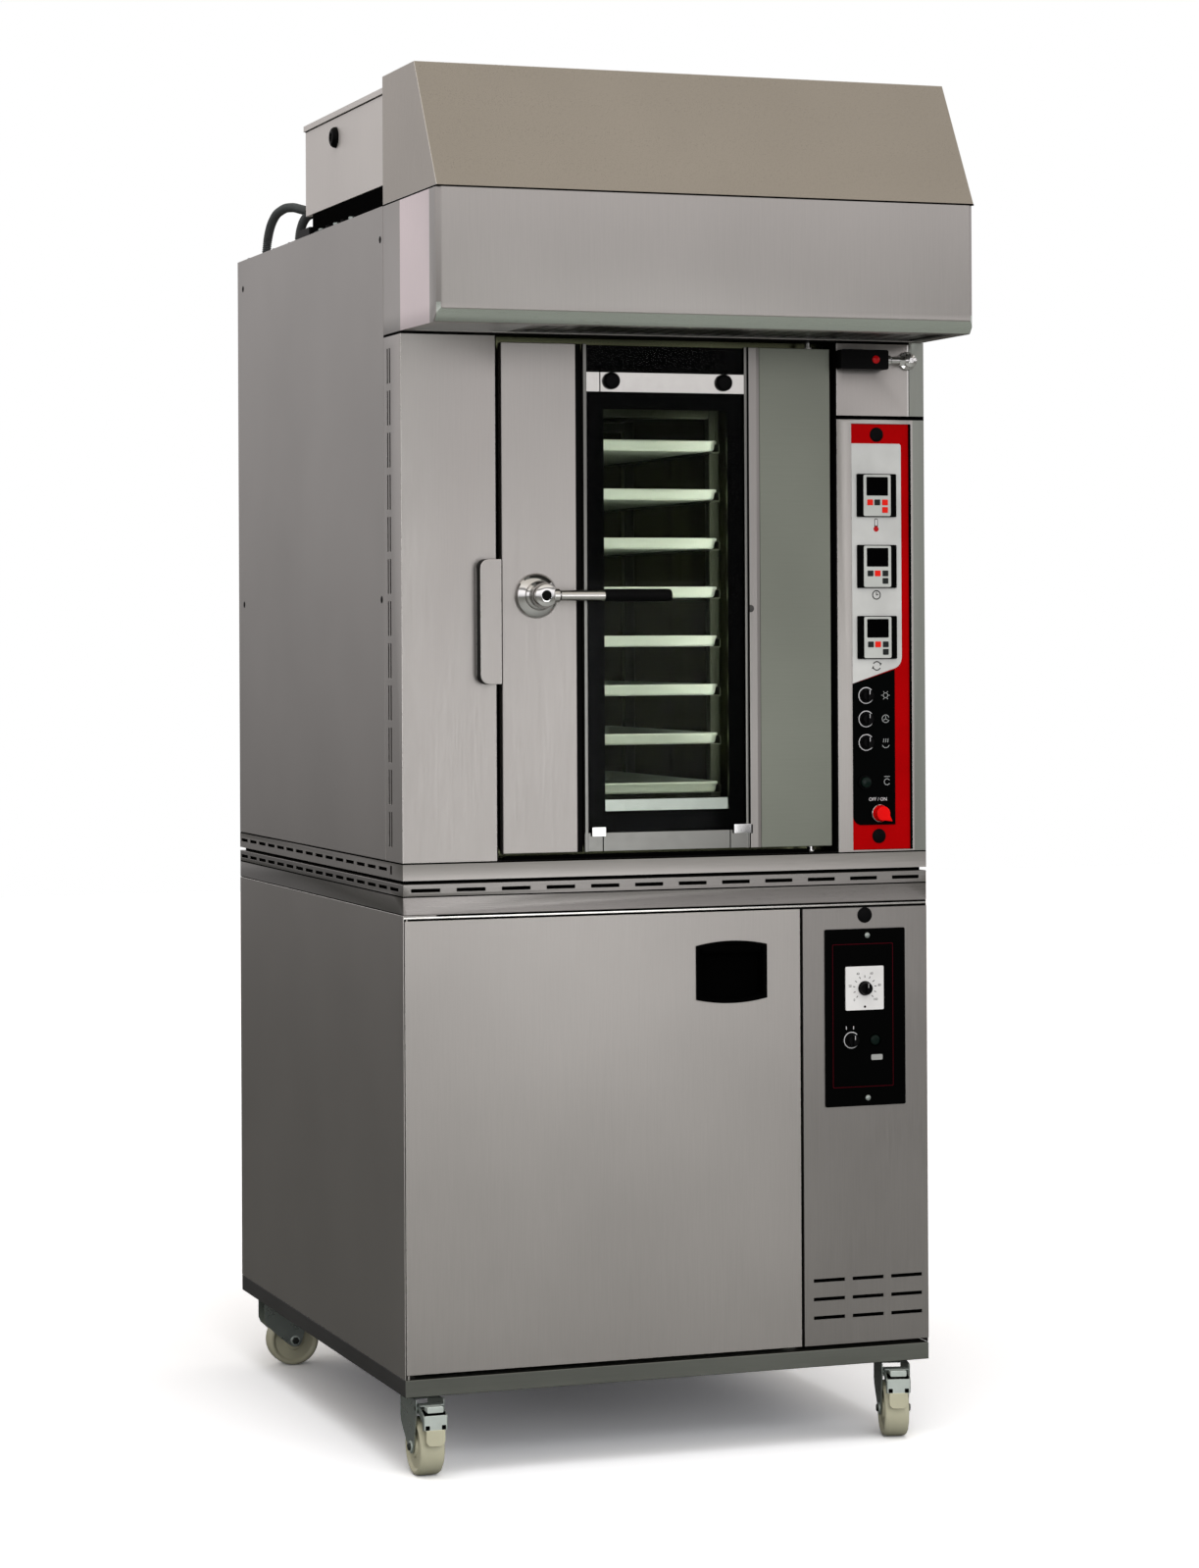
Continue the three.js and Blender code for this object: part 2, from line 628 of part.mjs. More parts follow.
function ovenPlinth() {
  const SIDE_SLOTS = 15;
  const z = plinthBottom + PLINTH_HEIGHT / 2;
  const tray = cut(
    hollowBlock([-side, side, front, back, plinthBottom, plinthTop], SHEET),
    block(-side + PLINTH_FLANGE, side - PLINTH_FLANGE, front + PLINTH_FLANGE, back - PLINTH_FLANGE,
      plinthBottom - 1, plinthBottom + 2 * SHEET),
  );
  const slots = spread(SIDE_SLOTS, front + TIE_SLOT.fromFront + 16, back).map((y) => block(
    -side - 1, -side + 2 * SHEET, y - SLOT_HALF, y + SLOT_HALF, z - SLOT_HEIGHT / 2, z + SLOT_HEIGHT / 2,
  ));
  const tieSlot = block(
    -side - 1, -side + 2 * SHEET, front + TIE_SLOT.fromFront - TIE_SLOT.width / 2,
    front + TIE_SLOT.fromFront + TIE_SLOT.width / 2, z - TIE_SLOT.height / 2, z + TIE_SLOT.height / 2,
  );
  piece("oven_plinth", cut(tray, ...slots, tieSlot), darkSteel);
}

// Front corner: side strip with a column of slots, front face and a return beside the door.
function cornerSheet(mirror, width) {
  const path = [[-side, cornerBack], [-side, front], [-side + width, front], [-side + width, frameFront - SEAT]];
  const placed = path.map(([x, y]) => [mirror * x, y]);
  return foldedSheet(placed, mirror * SHEET, plinthTop + SEAT, hoodBottom - SEAT);
}

const AIR_SLOT = { count: 12, width: 22, height: 60, inset: 19, ends: 19 };

function ovenLeftJamb() {
  const slots = spread(AIR_SLOT.count, plinthTop + AIR_SLOT.ends, hoodBottom - AIR_SLOT.ends).map((z) => block(
    -side - 1, -side + 2 * SHEET, cornerBack - AIR_SLOT.inset - AIR_SLOT.width, cornerBack - AIR_SLOT.inset,
    z - AIR_SLOT.height / 2, z + AIR_SLOT.height / 2,
  ));
  const strikeRight = -side + JAMB_WIDTH + 3;
  const strikeZ = plinthTop + STRIKE_LIFT;
  const rounding = [[1, 0], [0.5, 0.13], [0.13, 0.5], [0, 1]];
  const left = (fromEnd) => rounding.map(([x, z]) => [
    strikeRight - STRIKE_WIDTH + x * STRIKE_CORNER, fromEnd(z * STRIKE_CORNER),
  ]);
  const strike = facing(outline([
    ...left((z) => strikeZ + STRIKE_HEIGHT - z), ...left((z) => strikeZ + z).reverse(),
    [strikeRight, strikeZ], [strikeRight, strikeZ + STRIKE_HEIGHT],
  ]), front - STRIKE_DEPTH, front + SHEET);
  piece("oven_left_jamb", join(cut(cornerSheet(1, JAMB_WIDTH), ...slots), strike), steel);
}

const DAMPER = { x: side - 34, z: doorTop - 19, reach: 139, grip: 93, depth: 24 };

function ovenColumn() {
  const window = block(fasciaLeft, fasciaRight, front - 1, front + 10, fasciaBottom, fasciaTop);
  const groove = block(side - COLUMN_WIDTH - 1, side - 8, front - 1, front + 1, fasciaTop + 8, fasciaTop + 14);
  const cheeks = [fasciaLeft, fasciaRight].map((x) => block(
    x === fasciaLeft ? x - SHEET : x, x === fasciaLeft ? x : x + SHEET, front, front + 8, fasciaBottom, fasciaTop,
  ));
  const bore = rod("y", [DAMPER.x, DAMPER.z], 8.5, front - 5, front + 5, 20);
  piece("oven_column", cut(join(cut(cornerSheet(-1, COLUMN_WIDTH), window), ...cheeks), groove, bore), steel);
}

function ovenSides() {
  const y0 = cornerBack + SEAT;
  for (const [name, mirror] of [["oven_left_side", 1], ["oven_right_side", -1]]) {
    const path = [[-side, back], [-side, y0], [-side + 18, y0]].map(([x, y]) => [mirror * x, y]);
    piece(name, foldedSheet(path, mirror * SHEET, plinthTop + SEAT, roofTop), steel);
  }
}

function ovenBackAndRoof() {
  const inner = side - SHEET - SEAT;
  const rear = block(-inner, inner, back - SHEET, back, plinthTop + SEAT, roofTop);
  const louvres = spread(5, fanZ - 60, fanZ + 60).map((z) => block(-90, 90, back - 5, back + 1, z - 5, z + 5));
  piece("oven_back", cut(rear, ...louvres), steel);
  const roofZ = roofTop - SHEET;
  piece("oven_roof", block(-inner, inner, cornerBack + 2, back - SHEET - SEAT, roofZ, roofTop), steel);
}

ovenPlinth();
ovenLeftJamb();
ovenColumn();
ovenSides();
ovenBackAndRoof();

// ---------------------------------------------------------------- baking chamber

const boss = { radius: 26, height: 8 };

function chamberWalls() {
  const flangeX = side - JAMB_WIDTH - 2;
  const path = [
    [-CHAMBER_HALF_WIDTH, chamberBack], [-CHAMBER_HALF_WIDTH, throatEnd], [-THROAT_HALF_WIDTH, throatEnd],
    [-THROAT_HALF_WIDTH, frameFront], [-flangeX, frameFront],
  ];
  for (const [name, mirror] of [["chamber_left_wall", 1], ["chamber_right_wall", -1]]) {
    const placed = path.map(([x, y]) => [mirror * x, y]);
    piece(name, foldedSheet(placed, -mirror * LINER, floorZ + SEAT, ceilingZ - SEAT), steel);
  }
  const half = CHAMBER_HALF_WIDTH + LINER;
  const skirt = hollowBlock(
    [-half, half, frameFront, chamberBack + LINER, plinthTop + SEAT, floorZ], LINER, ["bottom"],
  );
  const seat = rod("z", [0, rackY], boss.radius, floorZ - 1, floorZ + boss.height);
  const bore = rod("z", [0, rackY], RACK_PIN_RADIUS + 0.5, floorZ - 20, floorZ + 20);
  piece("chamber_floor", cut(join(skirt, seat), bore), steel);

  const lid = block(-half, half, frameFront, chamberBack + LINER, ceilingZ, ceilingZ + LINER);
  const header = block(-flangeX, flangeX, frameFront, frameFront + LINER, ceilingZ, hoodBottom - SEAT);
  const shaftHole = rod("z", [0, rackY], RACK_SHAFT_RADIUS + 3, ceilingZ - 5, ceilingZ + 10);
  piece("chamber_ceiling", cut(join(lid, header), shaftHole), steel);

  const insideX = CHAMBER_HALF_WIDTH - SEAT;
  const rear = block(
    -insideX, insideX, chamberBack - LINER, chamberBack, floorZ + SEAT, ceilingZ - SEAT,
  );
  const fanHole = rod("y", [0, fanZ], FAN_SHAFT_RADIUS + 3, chamberBack - 10, chamberBack + 10);
  piece("chamber_back", cut(rear, fanHole), steel);
}

// Perforated plate between the rack and the fan.
function fanBaffle() {
  const insideX = CHAMBER_HALF_WIDTH - SEAT;
  const plate = block(-insideX, insideX, baffleY, baffleY + LINER, floorZ + SEAT, ceilingZ - SEAT);
  const suction = rod("y", fanPlace(), FAN_RADIUS - 55, baffleY - 5, baffleY + 5, 32);
  const outlets = [];
  for (const x of [-insideX + 22, insideX - 42]) {
    for (const z of spread(6, floorZ + 30, ceilingZ - 30)) {
      outlets.push(block(x, x + 20, baffleY - 5, baffleY + 5, z - 45, z + 45));
    }
  }
  piece("fan_baffle", cut(plate, suction, ...outlets), steel);
}

function fanPlace() {
  return [fanCentre.x, fanCentre.z];
}

// Mineral wool round the chamber, with holes for the two drives.
function insulation() {
  const outerLeft = -side + SHEET + 2;
  const outerRight = side - COLUMN_WIDTH + 105;
  const top = ceilingZ + LINER + SEAT;
  const inner = CHAMBER_HALF_WIDTH + LINER + SEAT;
  const y0 = throatEnd + 4;
  const y1 = chamberBack + LINER + SEAT;
  const hood = cut(
    block(outerLeft, outerRight, y0, y1 + INSULATION, floorZ, top + 50),
    block(-inner, inner, y0 - 1, y1, floorZ - 1, top),
  );
  const shaft = rod("z", [0, rackY], 34, top - 5, top + 60);
  const fanShaft = rod("y", fanPlace(), 34, y1 - 5, y1 + INSULATION + 5);
  piece("chamber_insulation", cut(hood, shaft, fanShaft), wool);
}

function fanDrive() {
  const y0 = chamberBack + SEAT;
  const motorFront = chamberBack + LINER + INSULATION + 2 * SEAT;
  const [x, z] = fanPlace();
  const tube = rod("y", fanPlace(), MOTOR_TUBE, y0, motorFront + 1);
  const flange = block(
    x - MOTOR_FLANGE, x + MOTOR_FLANGE, motorFront, motorFront + 4, z - MOTOR_FLANGE, z + MOTOR_FLANGE,
  );
  const can = rod("y", fanPlace(), MOTOR_RADIUS, motorFront, motorFront + MOTOR_LENGTH, 28);
  const bore = rod("y", fanPlace(), FAN_SHAFT_RADIUS + 0.5, y0 - 5, motorFront + 20);
  piece("fan_motor", cut(join(tube, flange, can), bore), darkSteel);

  const rearPlane = chamberBack - LINER - 14;
  const hub = rod("y", fanPlace(), 24, rearPlane - FAN_WIDTH, rearPlane + 6);
  const disc = rod("y", fanPlace(), FAN_RADIUS, rearPlane - 2, rearPlane, 30);
  const shaft = rod("y", fanPlace(), FAN_SHAFT_RADIUS, rearPlane, motorFront + 18);
  const blades = Array.from({ length: FAN_BLADES }, (_, i) => {
    const angle = (i / FAN_BLADES) * 2 * Math.PI;
    const blade = new THREE.BoxGeometry(FAN_RADIUS - 60, FAN_WIDTH, 2);
    blade.translate((FAN_RADIUS - 60) / 2 + 58, rearPlane - FAN_WIDTH / 2 - 1, 0);
    blade.rotateY(angle).translate(x, 0, z);
    return solid(blade);
  });
  piece("fan_impeller", join(hub, disc, shaft, ...blades), aluminium);
}

// Ring element round the fan, on two terminals in the chamber's back.
function heatingElement() {
  const y = chamberBack - LINER - 26;
  const section = Array.from({ length: 7 }, (_, i) => {
    const angle = (i / 6) * 2 * Math.PI;
    return [HEATER_RADIUS + HEATER_TUBE * Math.cos(angle), HEATER_TUBE * Math.sin(angle)];
  });
  const ring = turned(section, "-y", 30).translate([0, y, fanZ]);
  const terminals = [-25, 25].map((x) => rod(
    "y", [x, fanZ - Math.sqrt(HEATER_RADIUS ** 2 - x ** 2)], HEATER_TUBE, y, chamberBack - LINER - SEAT, 12,
  ));
  piece("heating_element", join(ring, ...terminals), darkSteel);
}

function rackDrive() {
  const tubeBottom = ceilingZ + LINER + SEAT;
  const boxBottom = tubeBottom + 50 + SEAT;
  const { half, height, motorRadius, motorReach } = GEARBOX;
  const tube = rod("z", [0, rackY], MOTOR_TUBE, tubeBottom, boxBottom + 1);
  const gearbox = block(-half, half, rackY - half, rackY + half, boxBottom, boxBottom + height);
  const foot = block(-half - 30, half + 30, rackY - half - 15, rackY + half + 15, boxBottom, boxBottom + 4);
  const motor = rod("x", [rackY, boxBottom + 50], motorRadius, half - 1, motorReach);
  const bore = rod("z", [0, rackY], RACK_SHAFT_RADIUS + 0.5, tubeBottom - 5, boxBottom + 40);
  piece("rack_gearmotor", cut(join(tube, gearbox, foot, motor), bore), darkSteel);
}

chamberWalls();
fanBaffle();
insulation();
fanDrive();
heatingElement();
rackDrive();

// ---------------------------------------------------------------- rotating rack

// A tray whose rim flares out, open on top.
function tray(bottom) {
  const frustum = (inset, z0, z1, flare) => {
    const [w, l] = [TRAY_WIDTH / 2 - inset, TRAY_LENGTH / 2 - inset];
    const box = new THREE.BoxGeometry(2 * w, 2 * l, z1 - z0);
    const corners = box.getAttribute("position");
    for (let i = 0; i < corners.count; i++) {
      if (corners.getZ(i) > 0) continue;
      corners.setX(i, corners.getX(i) * (1 - flare / w));
      corners.setY(i, corners.getY(i) * (1 - flare / l));
    }
    return solid(box.translate(0, rackY, (z0 + z1) / 2));
  };
  const FLARE = 6;
  const outer = frustum(0, bottom, bottom + TRAY_DEPTH, FLARE);
  const inner = frustum(TRAY_SHEET, bottom + TRAY_SHEET, bottom + TRAY_DEPTH + 0.5, FLARE);
  return cut(outer, inner);
}

function rack() {
  const beamBottom = floorZ + 11;
  const beamHeight = 18;
  const frameTop = ceilingZ - RACK_CLEARANCE;
  const tubeX = TRAY_WIDTH / 2 + 3;
  const tubeY = 230;
  const parts = [];
  for (const mirror of [-1, 1]) {
    const span = (from, to) => [mirror * from, mirror * to].sort((a, b) => a - b);
    for (const y of [rackY - tubeY, rackY + tubeY]) {
      parts.push(block(...span(tubeX, tubeX + RACK_TUBE), y - RACK_TUBE / 2, y + RACK_TUBE / 2, beamBottom, frameTop));
    }
    for (let i = 0; i < TRAY_COUNT; i++) {
      const z = floorZ + FIRST_TRAY + i * TRAY_PITCH;
      const [y0, y1] = [rackY - TRAY_LENGTH / 2 + 6, rackY + TRAY_LENGTH / 2 - 6];
      parts.push(block(...span(tubeX - 20, tubeX + 0.5), y0, y1, z - SHEET, z + 0.1));
      parts.push(block(...span(tubeX - 1, tubeX + 0.5), y0, y1, z - SHEET, z + 14));
    }
  }
  for (const z of [beamBottom, frameTop - RACK_TUBE]) {
    for (const y of [rackY - tubeY, rackY + tubeY]) {
      parts.push(block(-tubeX - 1, tubeX + 1, y - RACK_TUBE / 2, y + RACK_TUBE / 2, z, z + beamHeight));
    }
    parts.push(block(-12, 12, rackY - tubeY, rackY + tubeY, z, z + beamHeight));
  }
  const axis = [0, rackY];
  parts.push(rod("z", axis, 26, floorZ + boss.height + SEAT, beamBottom + beamHeight));
  parts.push(rod("z", axis, RACK_PIN_RADIUS, floorZ - 12, beamBottom + 1, 20));
  parts.push(rod("z", axis, 28, frameTop - RACK_TUBE, frameTop + 6));
  parts.push(rod("z", axis, RACK_SHAFT_RADIUS, frameTop, ceilingZ + 84, 20));
  for (let i = 0; i < TRAY_COUNT; i++) parts.push(tray(floorZ + FIRST_TRAY + i * TRAY_PITCH));
  piece("rack_with_trays", join(...parts), aluminium);
}
rack();

// ---------------------------------------------------------------- oven door

const glassX0 = doorLeft + GLASS_LEFT;
const glassX1 = glassX0 + GLASS_WIDTH;

function ovenDoor() {
  const boxBack = front + DOOR_THICKNESS;
  const skin = block(doorLeft, doorRight, front, front + DOOR_SKIN_DEPTH, doorBottom, doorTop);
  const rearBox = block(
    doorLeft + DOOR_STEP, doorRight - DOOR_STEP, front + DOOR_SKIN_DEPTH - 1, boxBack,
    doorBottom + DOOR_STEP, doorTop - DOOR_STEP,
  );
  const glassBack = front + GLASS_THICKNESS + SEAT;
  const outerRecess = block(glassX0 - SEAT, glassX1 + SEAT, front - 1, glassBack, doorBottom - 1, doorTop + 1);
  const [wx0, wx1] = [glassX0 + WINDOW_SIDE, glassX1 - WINDOW_SIDE];
  const [wz0, wz1] = [doorBottom + WINDOW_BOTTOM, doorTop - WINDOW_TOP];
  const windowHole = block(wx0, wx1, front - 1, boxBack + 1, wz0, wz1);
  const innerRecess = block(
    wx0 - REBATE - SEAT, wx1 + REBATE + SEAT, boxBack - GLASS_THICKNESS - SEAT, boxBack + 1,
    wz0 - REBATE - SEAT, wz1 + REBATE + SEAT,
  );
  // Wool-filled spaces on both sides of the window, each with a vent hole in the door's top.
  const cavities = [
    [doorLeft + DOOR_STEP + DOOR_SHEET, glassX0 - DOOR_SHEET],
    [glassX1 + DOOR_SHEET, doorRight - DOOR_STEP - DOOR_SHEET],
  ].map(([x0, x1]) => join(
    block(x0, x1, front + DOOR_SHEET, boxBack - DOOR_SHEET, doorBottom + DOOR_STEP + DOOR_SHEET,
      doorTop - DOOR_STEP - DOOR_SHEET),
    rod("z", [(x0 + x1) / 2, front + 10], 4, doorTop - DOOR_STEP - 5, doorTop + 1, 12),
  ));
  const spindle = rod("y", leverAxis(), 8.5, front - 1, front + 40, 20);
  const body = cut(join(skin, rearBox), outerRecess, windowHole, innerRecess, ...cavities, spindle);
  const pins = [[plinthTop + SEAT, doorBottom + DOOR_STEP + 1], [doorTop - DOOR_STEP - 1, hoodBottom - SEAT]]
    .map(([from, to]) => rod("z", doorAxis, HINGE_PIN_RADIUS, from, to, 16));
  piece("oven_door", join(body, ...pins), steel);

  piece("door_glass_outer", block(glassX0, glassX1, front, front + GLASS_THICKNESS, doorBottom, doorTop), glass);
  piece("door_glass_inner", block(
    wx0 - REBATE, wx1 + REBATE, boxBack - GLASS_THICKNESS, boxBack, wz0 - REBATE, wz1 + REBATE,
  ), glass);
}

function leverAxis() {
  return [doorLeft + LEVER_FROM_EDGE, plinthTop + LEVER_HEIGHT];
}

function doorLever() {
  const [x, z] = leverAxis();
  const dome = turned([
    [0, 0], [ROSETTE_RADIUS, 0], [ROSETTE_RADIUS, 4], [34, 12], [25, 18], [22, 21], [22, LEVER_STANDOFF - 8],
    [19, LEVER_STANDOFF - 4], [0, LEVER_STANDOFF - 4],
  ], "-y", 24).translate([x, front - SEAT, z]);
  const barY = front - LEVER_STANDOFF + 14;
  const bar = rod("x", [barY, z], 9.5, x, x + LEVER_LENGTH - 120, 16);
  const grip = rod("x", [barY, z], 11.5, x + LEVER_LENGTH - 121, x + LEVER_LENGTH, 16);
  const spindle = rod("y", [x, z], 8, front - 1, front + 36, 16);
  piece("door_lever", join(dome, bar, grip, spindle), chrome);
}

ovenDoor();
doorLever();

// ---------------------------------------------------------------- controls

// From the fascia's lower left corner
const SWITCH_PLACE = { x: 27, z: 276 };
const START_PLACE = { x: 23, z: 121 };
const MAIN_PLACE = { x: 53, z: 65 };
const START_TRAVEL = 4;
const onFascia = ({ x, z }, drop = 0) => knobPlace(fasciaLeft + x, fasciaBottom + z - drop, overlayFront);
const ovenSwitches = [0, 1, 2].map((i) => onFascia(SWITCH_PLACE, i * SWITCH_PITCH));
const startButton = onFascia(START_PLACE);
const mainSwitch = onFascia(MAIN_PLACE);

// The printed plate on the fascia, and the first controller's middle, from the fascia's left edge and ends
const OVERLAY = { left: 1, right: 97, bottom: 45, top: 36, controllerX: 48, controllerDrop: 128 };

function fascia() {
  const plane = front + FASCIA_RECESS;
  const plate = block(
    fasciaLeft + SEAT, fasciaRight - SEAT, plane, plane + FASCIA_THICKNESS, fasciaBottom + SEAT, fasciaTop - SEAT,
  );
  const places = [...ovenSwitches, startButton, mainSwitch];
  const holes = places.map((place) => rod(...place.bore));
  piece("control_fascia", cut(plate, ...holes), redPlastic);

  const overlay = block(
    fasciaLeft + OVERLAY.left, fasciaLeft + OVERLAY.right, overlayFront, plane - SEAT,
    fasciaBottom + OVERLAY.bottom, fasciaTop - OVERLAY.top,
  );
  const units = [0, 1, 2].map((i) => {
    const x = fasciaLeft + OVERLAY.controllerX;
    const z = fasciaTop - OVERLAY.controllerDrop - i * CONTROLLER_PITCH;
    return block(x - CONTROLLER_WIDTH / 2, x + CONTROLLER_WIDTH / 2, front - 6, plane - SEAT - 0.5,
      z - CONTROLLER_HEIGHT / 2, z + CONTROLLER_HEIGHT / 2);
  });
  piece("controller_plate", cut(join(overlay, ...units), ...holes), palePlastic);
}

// A round knob with a grip bar across it, on its spindle.
function knob(name, place, radius, height, material) {
  const { x, z, plane } = place;
  const body = turned([
    [0, 0], [radius, 0], [radius - 1.5, height - 5], [radius - 3, height - 4], [0, height - 4],
  ], "-y", 18).translate([x, plane - SEAT, z]);
  const bar = block(x - 2.5, x + 2.5, plane - SEAT - height, plane - SEAT - 1, z - radius + 2, z + radius - 1);
  const spindle = rod("y", [x, z], SPINDLE_RADIUS, plane - SEAT - 1, plane + SPINDLE_LENGTH, 12);
  piece(name, join(body, bar, spindle), material);
}

function damperLever() {
  const { x, z } = DAMPER;
  const spindle = rod("y", [x, z], 8, front - 8, front + 12, 16);
  const pivotBoss = rod("y", [x, z], 17, front - 24, front - SEAT - 2);
  const rodY = front - 15;
  const gripEnd = x - DAMPER.reach;
  const arm = rod("x", [rodY, z], 9, gripEnd + DAMPER.grip - 2, x + 18, 16);
  const grip = block(gripEnd, gripEnd + DAMPER.grip, front - 4 - DAMPER.depth, front - 4, z - 17.5, z + 17.5);
  piece("damper_lever", join(spindle, pivotBoss, arm, grip), blackPlastic);
}

fascia();
ovenSwitches.forEach((place, i) => knob("oven_switch_" + (i + 1), place, SWITCH_RADIUS, SWITCH_HEIGHT, blackPlastic));
knob("main_switch", mainSwitch, SWITCH_RADIUS, SWITCH_HEIGHT + 2, redPlastic);
knob("thermostat_knob", proverThermostat, SWITCH_RADIUS, SWITCH_HEIGHT, blackPlastic);
knob("prover_switch", proverSwitch, SWITCH_RADIUS, SWITCH_HEIGHT, blackPlastic);

function startPushButton() {
  const { x, z, plane } = startButton;
  const cap = rod("y", [x, z], 9.5, plane - SEAT - START_TRAVEL - 6, plane - SEAT - START_TRAVEL, 20);
  const stem = rod("y", [x, z], SPINDLE_RADIUS, plane - START_TRAVEL - 1, plane + SPINDLE_LENGTH, 12);
  piece("start_button", join(cap, stem), blackPlastic);
}
startPushButton();
damperLever();

// ---------------------------------------------------------------- hood and extractor

function hoodParts() {
  const inner = HOOD_SHEET;
  const rear = cornerBack;
  const section = outline([
    [hoodFront + HOOD_BEVEL, hoodBottom], [rear, hoodBottom], [rear, hoodSeam - SEAT], [hoodFront, hoodSeam - SEAT],
    [hoodFront, hoodBottom + HOOD_BEVEL_HEIGHT],
  ]);
  const insideLower = outline([
    [hoodFront + HOOD_BEVEL + inner, hoodBottom + inner], [rear - inner, hoodBottom + inner],
    [rear - inner, hoodSeam + 5], [hoodFront + inner, hoodSeam + 5],
    [hoodFront + inner, hoodBottom + HOOD_BEVEL_HEIGHT + inner],
  ]);
  const plan = outline([
    [-side, rear + 1], [-side, hoodFront + HOOD_CORNER], [-side + HOOD_CORNER, hoodFront - 1],
    [side - HOOD_CORNER, hoodFront - 1], [side, hoodFront + HOOD_CORNER], [side, rear + 1],
  ]);
  const mouth = block(
    -side + HOOD_RIM, side - HOOD_RIM, hoodFront + HOOD_BEVEL + HOOD_RIM, front - 12,
    hoodBottom - 1, hoodBottom + 10,
  );
  const lower = cut(
    across(section, -side, side).intersect(upright(plan, hoodBottom - 1, hoodSeam + 1)),
    across(insideLower, -side + HOOD_CORNER, side - HOOD_CORNER), mouth,
  );
  piece("hood_lower", lower, steel);

  const topFront = hoodFront + HOOD_TOP_SETBACK;
  const upperSection = outline([[hoodFront, hoodSeam], [rear, hoodSeam], [rear, hoodTop], [topFront, hoodTop]]);
  const slope = HOOD_TOP_SETBACK / HOOD_SLOPE_HEIGHT;
  const wall = inner * Math.hypot(1, slope);
  const upperInside = outline([
    [hoodFront + wall - slope, hoodSeam - 1], [rear - inner, hoodSeam - 1], [rear - inner, hoodTop - inner],
    [topFront + wall - slope * inner, hoodTop - inner],
  ]);
  const upper = cut(across(upperSection, -side, side), across(upperInside, -side + inner, side - inner), duct());
  piece("hood_upper", upper, steel);
}

// The way from the hood into the extractor.
function duct() {
  return block(-150, 150, cornerBack - 10, cornerBack + 10, hoodTop - 130, hoodTop - 40);
}

function extractor() {
  const x = side - EXTRACTOR_INSET;
  const y0 = cornerBack + SEAT;
  const y1 = y0 + EXTRACTOR_LENGTH;
  const boxBottom = roofTop + EXTRACTOR_LIFT;
  const lidBottom = hoodTop - EXTRACTOR_LID;
  const stand = hollowBlock([-x + 18, x - 18, y0 + 10, y1 - 14, roofTop + SEAT, boxBottom - SEAT], SHEET, ["bottom"]);
  piece("extractor_base", stand, blackPlastic);

  const shell = hollowBlock([-x, x, y0, y1, boxBottom, lidBottom], HOOD_SHEET, ["top"]);
  const lid = block(-x - 3, x + 3, y0, y1 + 4, lidBottom - 0.5, hoodTop);
  const outlet = rod("z", [0, rackY - 150], OUTLET_RADIUS, lidBottom - 5, hoodTop + 5, 36);
  piece("extractor_box", cut(join(shell, lid), outlet, duct()), steel);
}

// Ribbed conduit from the extractor's rear corner back and down into the roof: an arch of a rising and a
// falling quarter, with straight ends one diameter long.
const CONDUIT = { radius: 8, rib: 1.3, pitch: 6.4, reach: 352, start: 12, straight: 16 };
const conduitX = -side + EXTRACTOR_INSET + 12;

class ConduitRoute extends THREE.Curve {
  getPoint(t, target = new THREE.Vector3()) {
    const yStart = cornerBack + 2 * SEAT + EXTRACTOR_LENGTH;
    const zStart = roofTop + EXTRACTOR_LIFT + CONDUIT.start;
    const knots = [
      [0, 0], [CONDUIT.straight, 0], [75, 10], [150, 22], [225, 25], [290, 14], [330, -13], [347, -44],
      [CONDUIT.reach, -zStart + roofTop + SEAT + CONDUIT.straight], [CONDUIT.reach, -zStart + roofTop + SEAT],
    ].map(([y, z]) => new THREE.Vector3(conduitX, yStart + y, zStart + z));
    return new THREE.CatmullRomCurve3(knots, false, "centripetal").getPoint(t, target);
  }
}

function conduit() {
  const route = new ConduitRoute();
  const RING = 8;
  const length = route.getLength();
  const ribs = Math.floor((length - 2 * CONDUIT.straight) / CONDUIT.pitch);
  const rings = [{ s: 0, r: CONDUIT.radius }];
  for (let i = 0; i <= ribs; i++) {
    const s = CONDUIT.straight + i * CONDUIT.pitch;
    rings.push({ s, r: CONDUIT.radius }, { s: s + CONDUIT.pitch / 2, r: CONDUIT.radius + CONDUIT.rib });
  }
  rings.push({ s: length, r: CONDUIT.radius });
  const bore = [];
  for (let i = 0; i < rings.length; i += 10) bore.push({ s: rings[i].s, r: CONDUIT.radius - 2 });
  bore.push({ s: length, r: CONDUIT.radius - 2 });
  // The route stays in one plane across X, so X and the tangent give each ring's plane.
  const sideways = new THREE.Vector3(1, 0, 0);
  const vertices = [];
  const addRing = ({ s, r }) => {
    const at = route.getPointAt(Math.min(s / length, 1));
    const upwards = new THREE.Vector3().crossVectors(route.getTangentAt(Math.min(s / length, 1)), sideways);
    for (let k = 0; k < RING; k++) {
      const angle = (k / RING) * 2 * Math.PI;
      vertices.push(at.clone().addScaledVector(sideways, r * Math.cos(angle))
        .addScaledVector(upwards, r * Math.sin(angle)));
    }
  };
  const loop = [...rings, ...bore.reverse()];
  loop.forEach(addRing);
  const index = [];
  for (let i = 0; i < loop.length; i++) {
    const next = (i + 1) % loop.length;
    for (let k = 0; k < RING; k++) {
      const [a, b] = [i * RING + k, i * RING + (k + 1) % RING];
      const [c, d] = [next * RING + k, next * RING + (k + 1) % RING];
      index.push(a, b, c, b, d, c);
    }
  }
  const tube = new THREE.BufferGeometry().setFromPoints(vertices);
  tube.setIndex(index);
  piece("conduit", solid(tube), greyConduit);
}

hoodParts();
extractor();
conduit();

export default oven;
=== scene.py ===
"""Dresses the rotating rack oven: sheet steel casing, glazed door, controls, casters, rack and hood."""

import json
import math

import bmesh
import bpy
from mathutils import Matrix, Vector


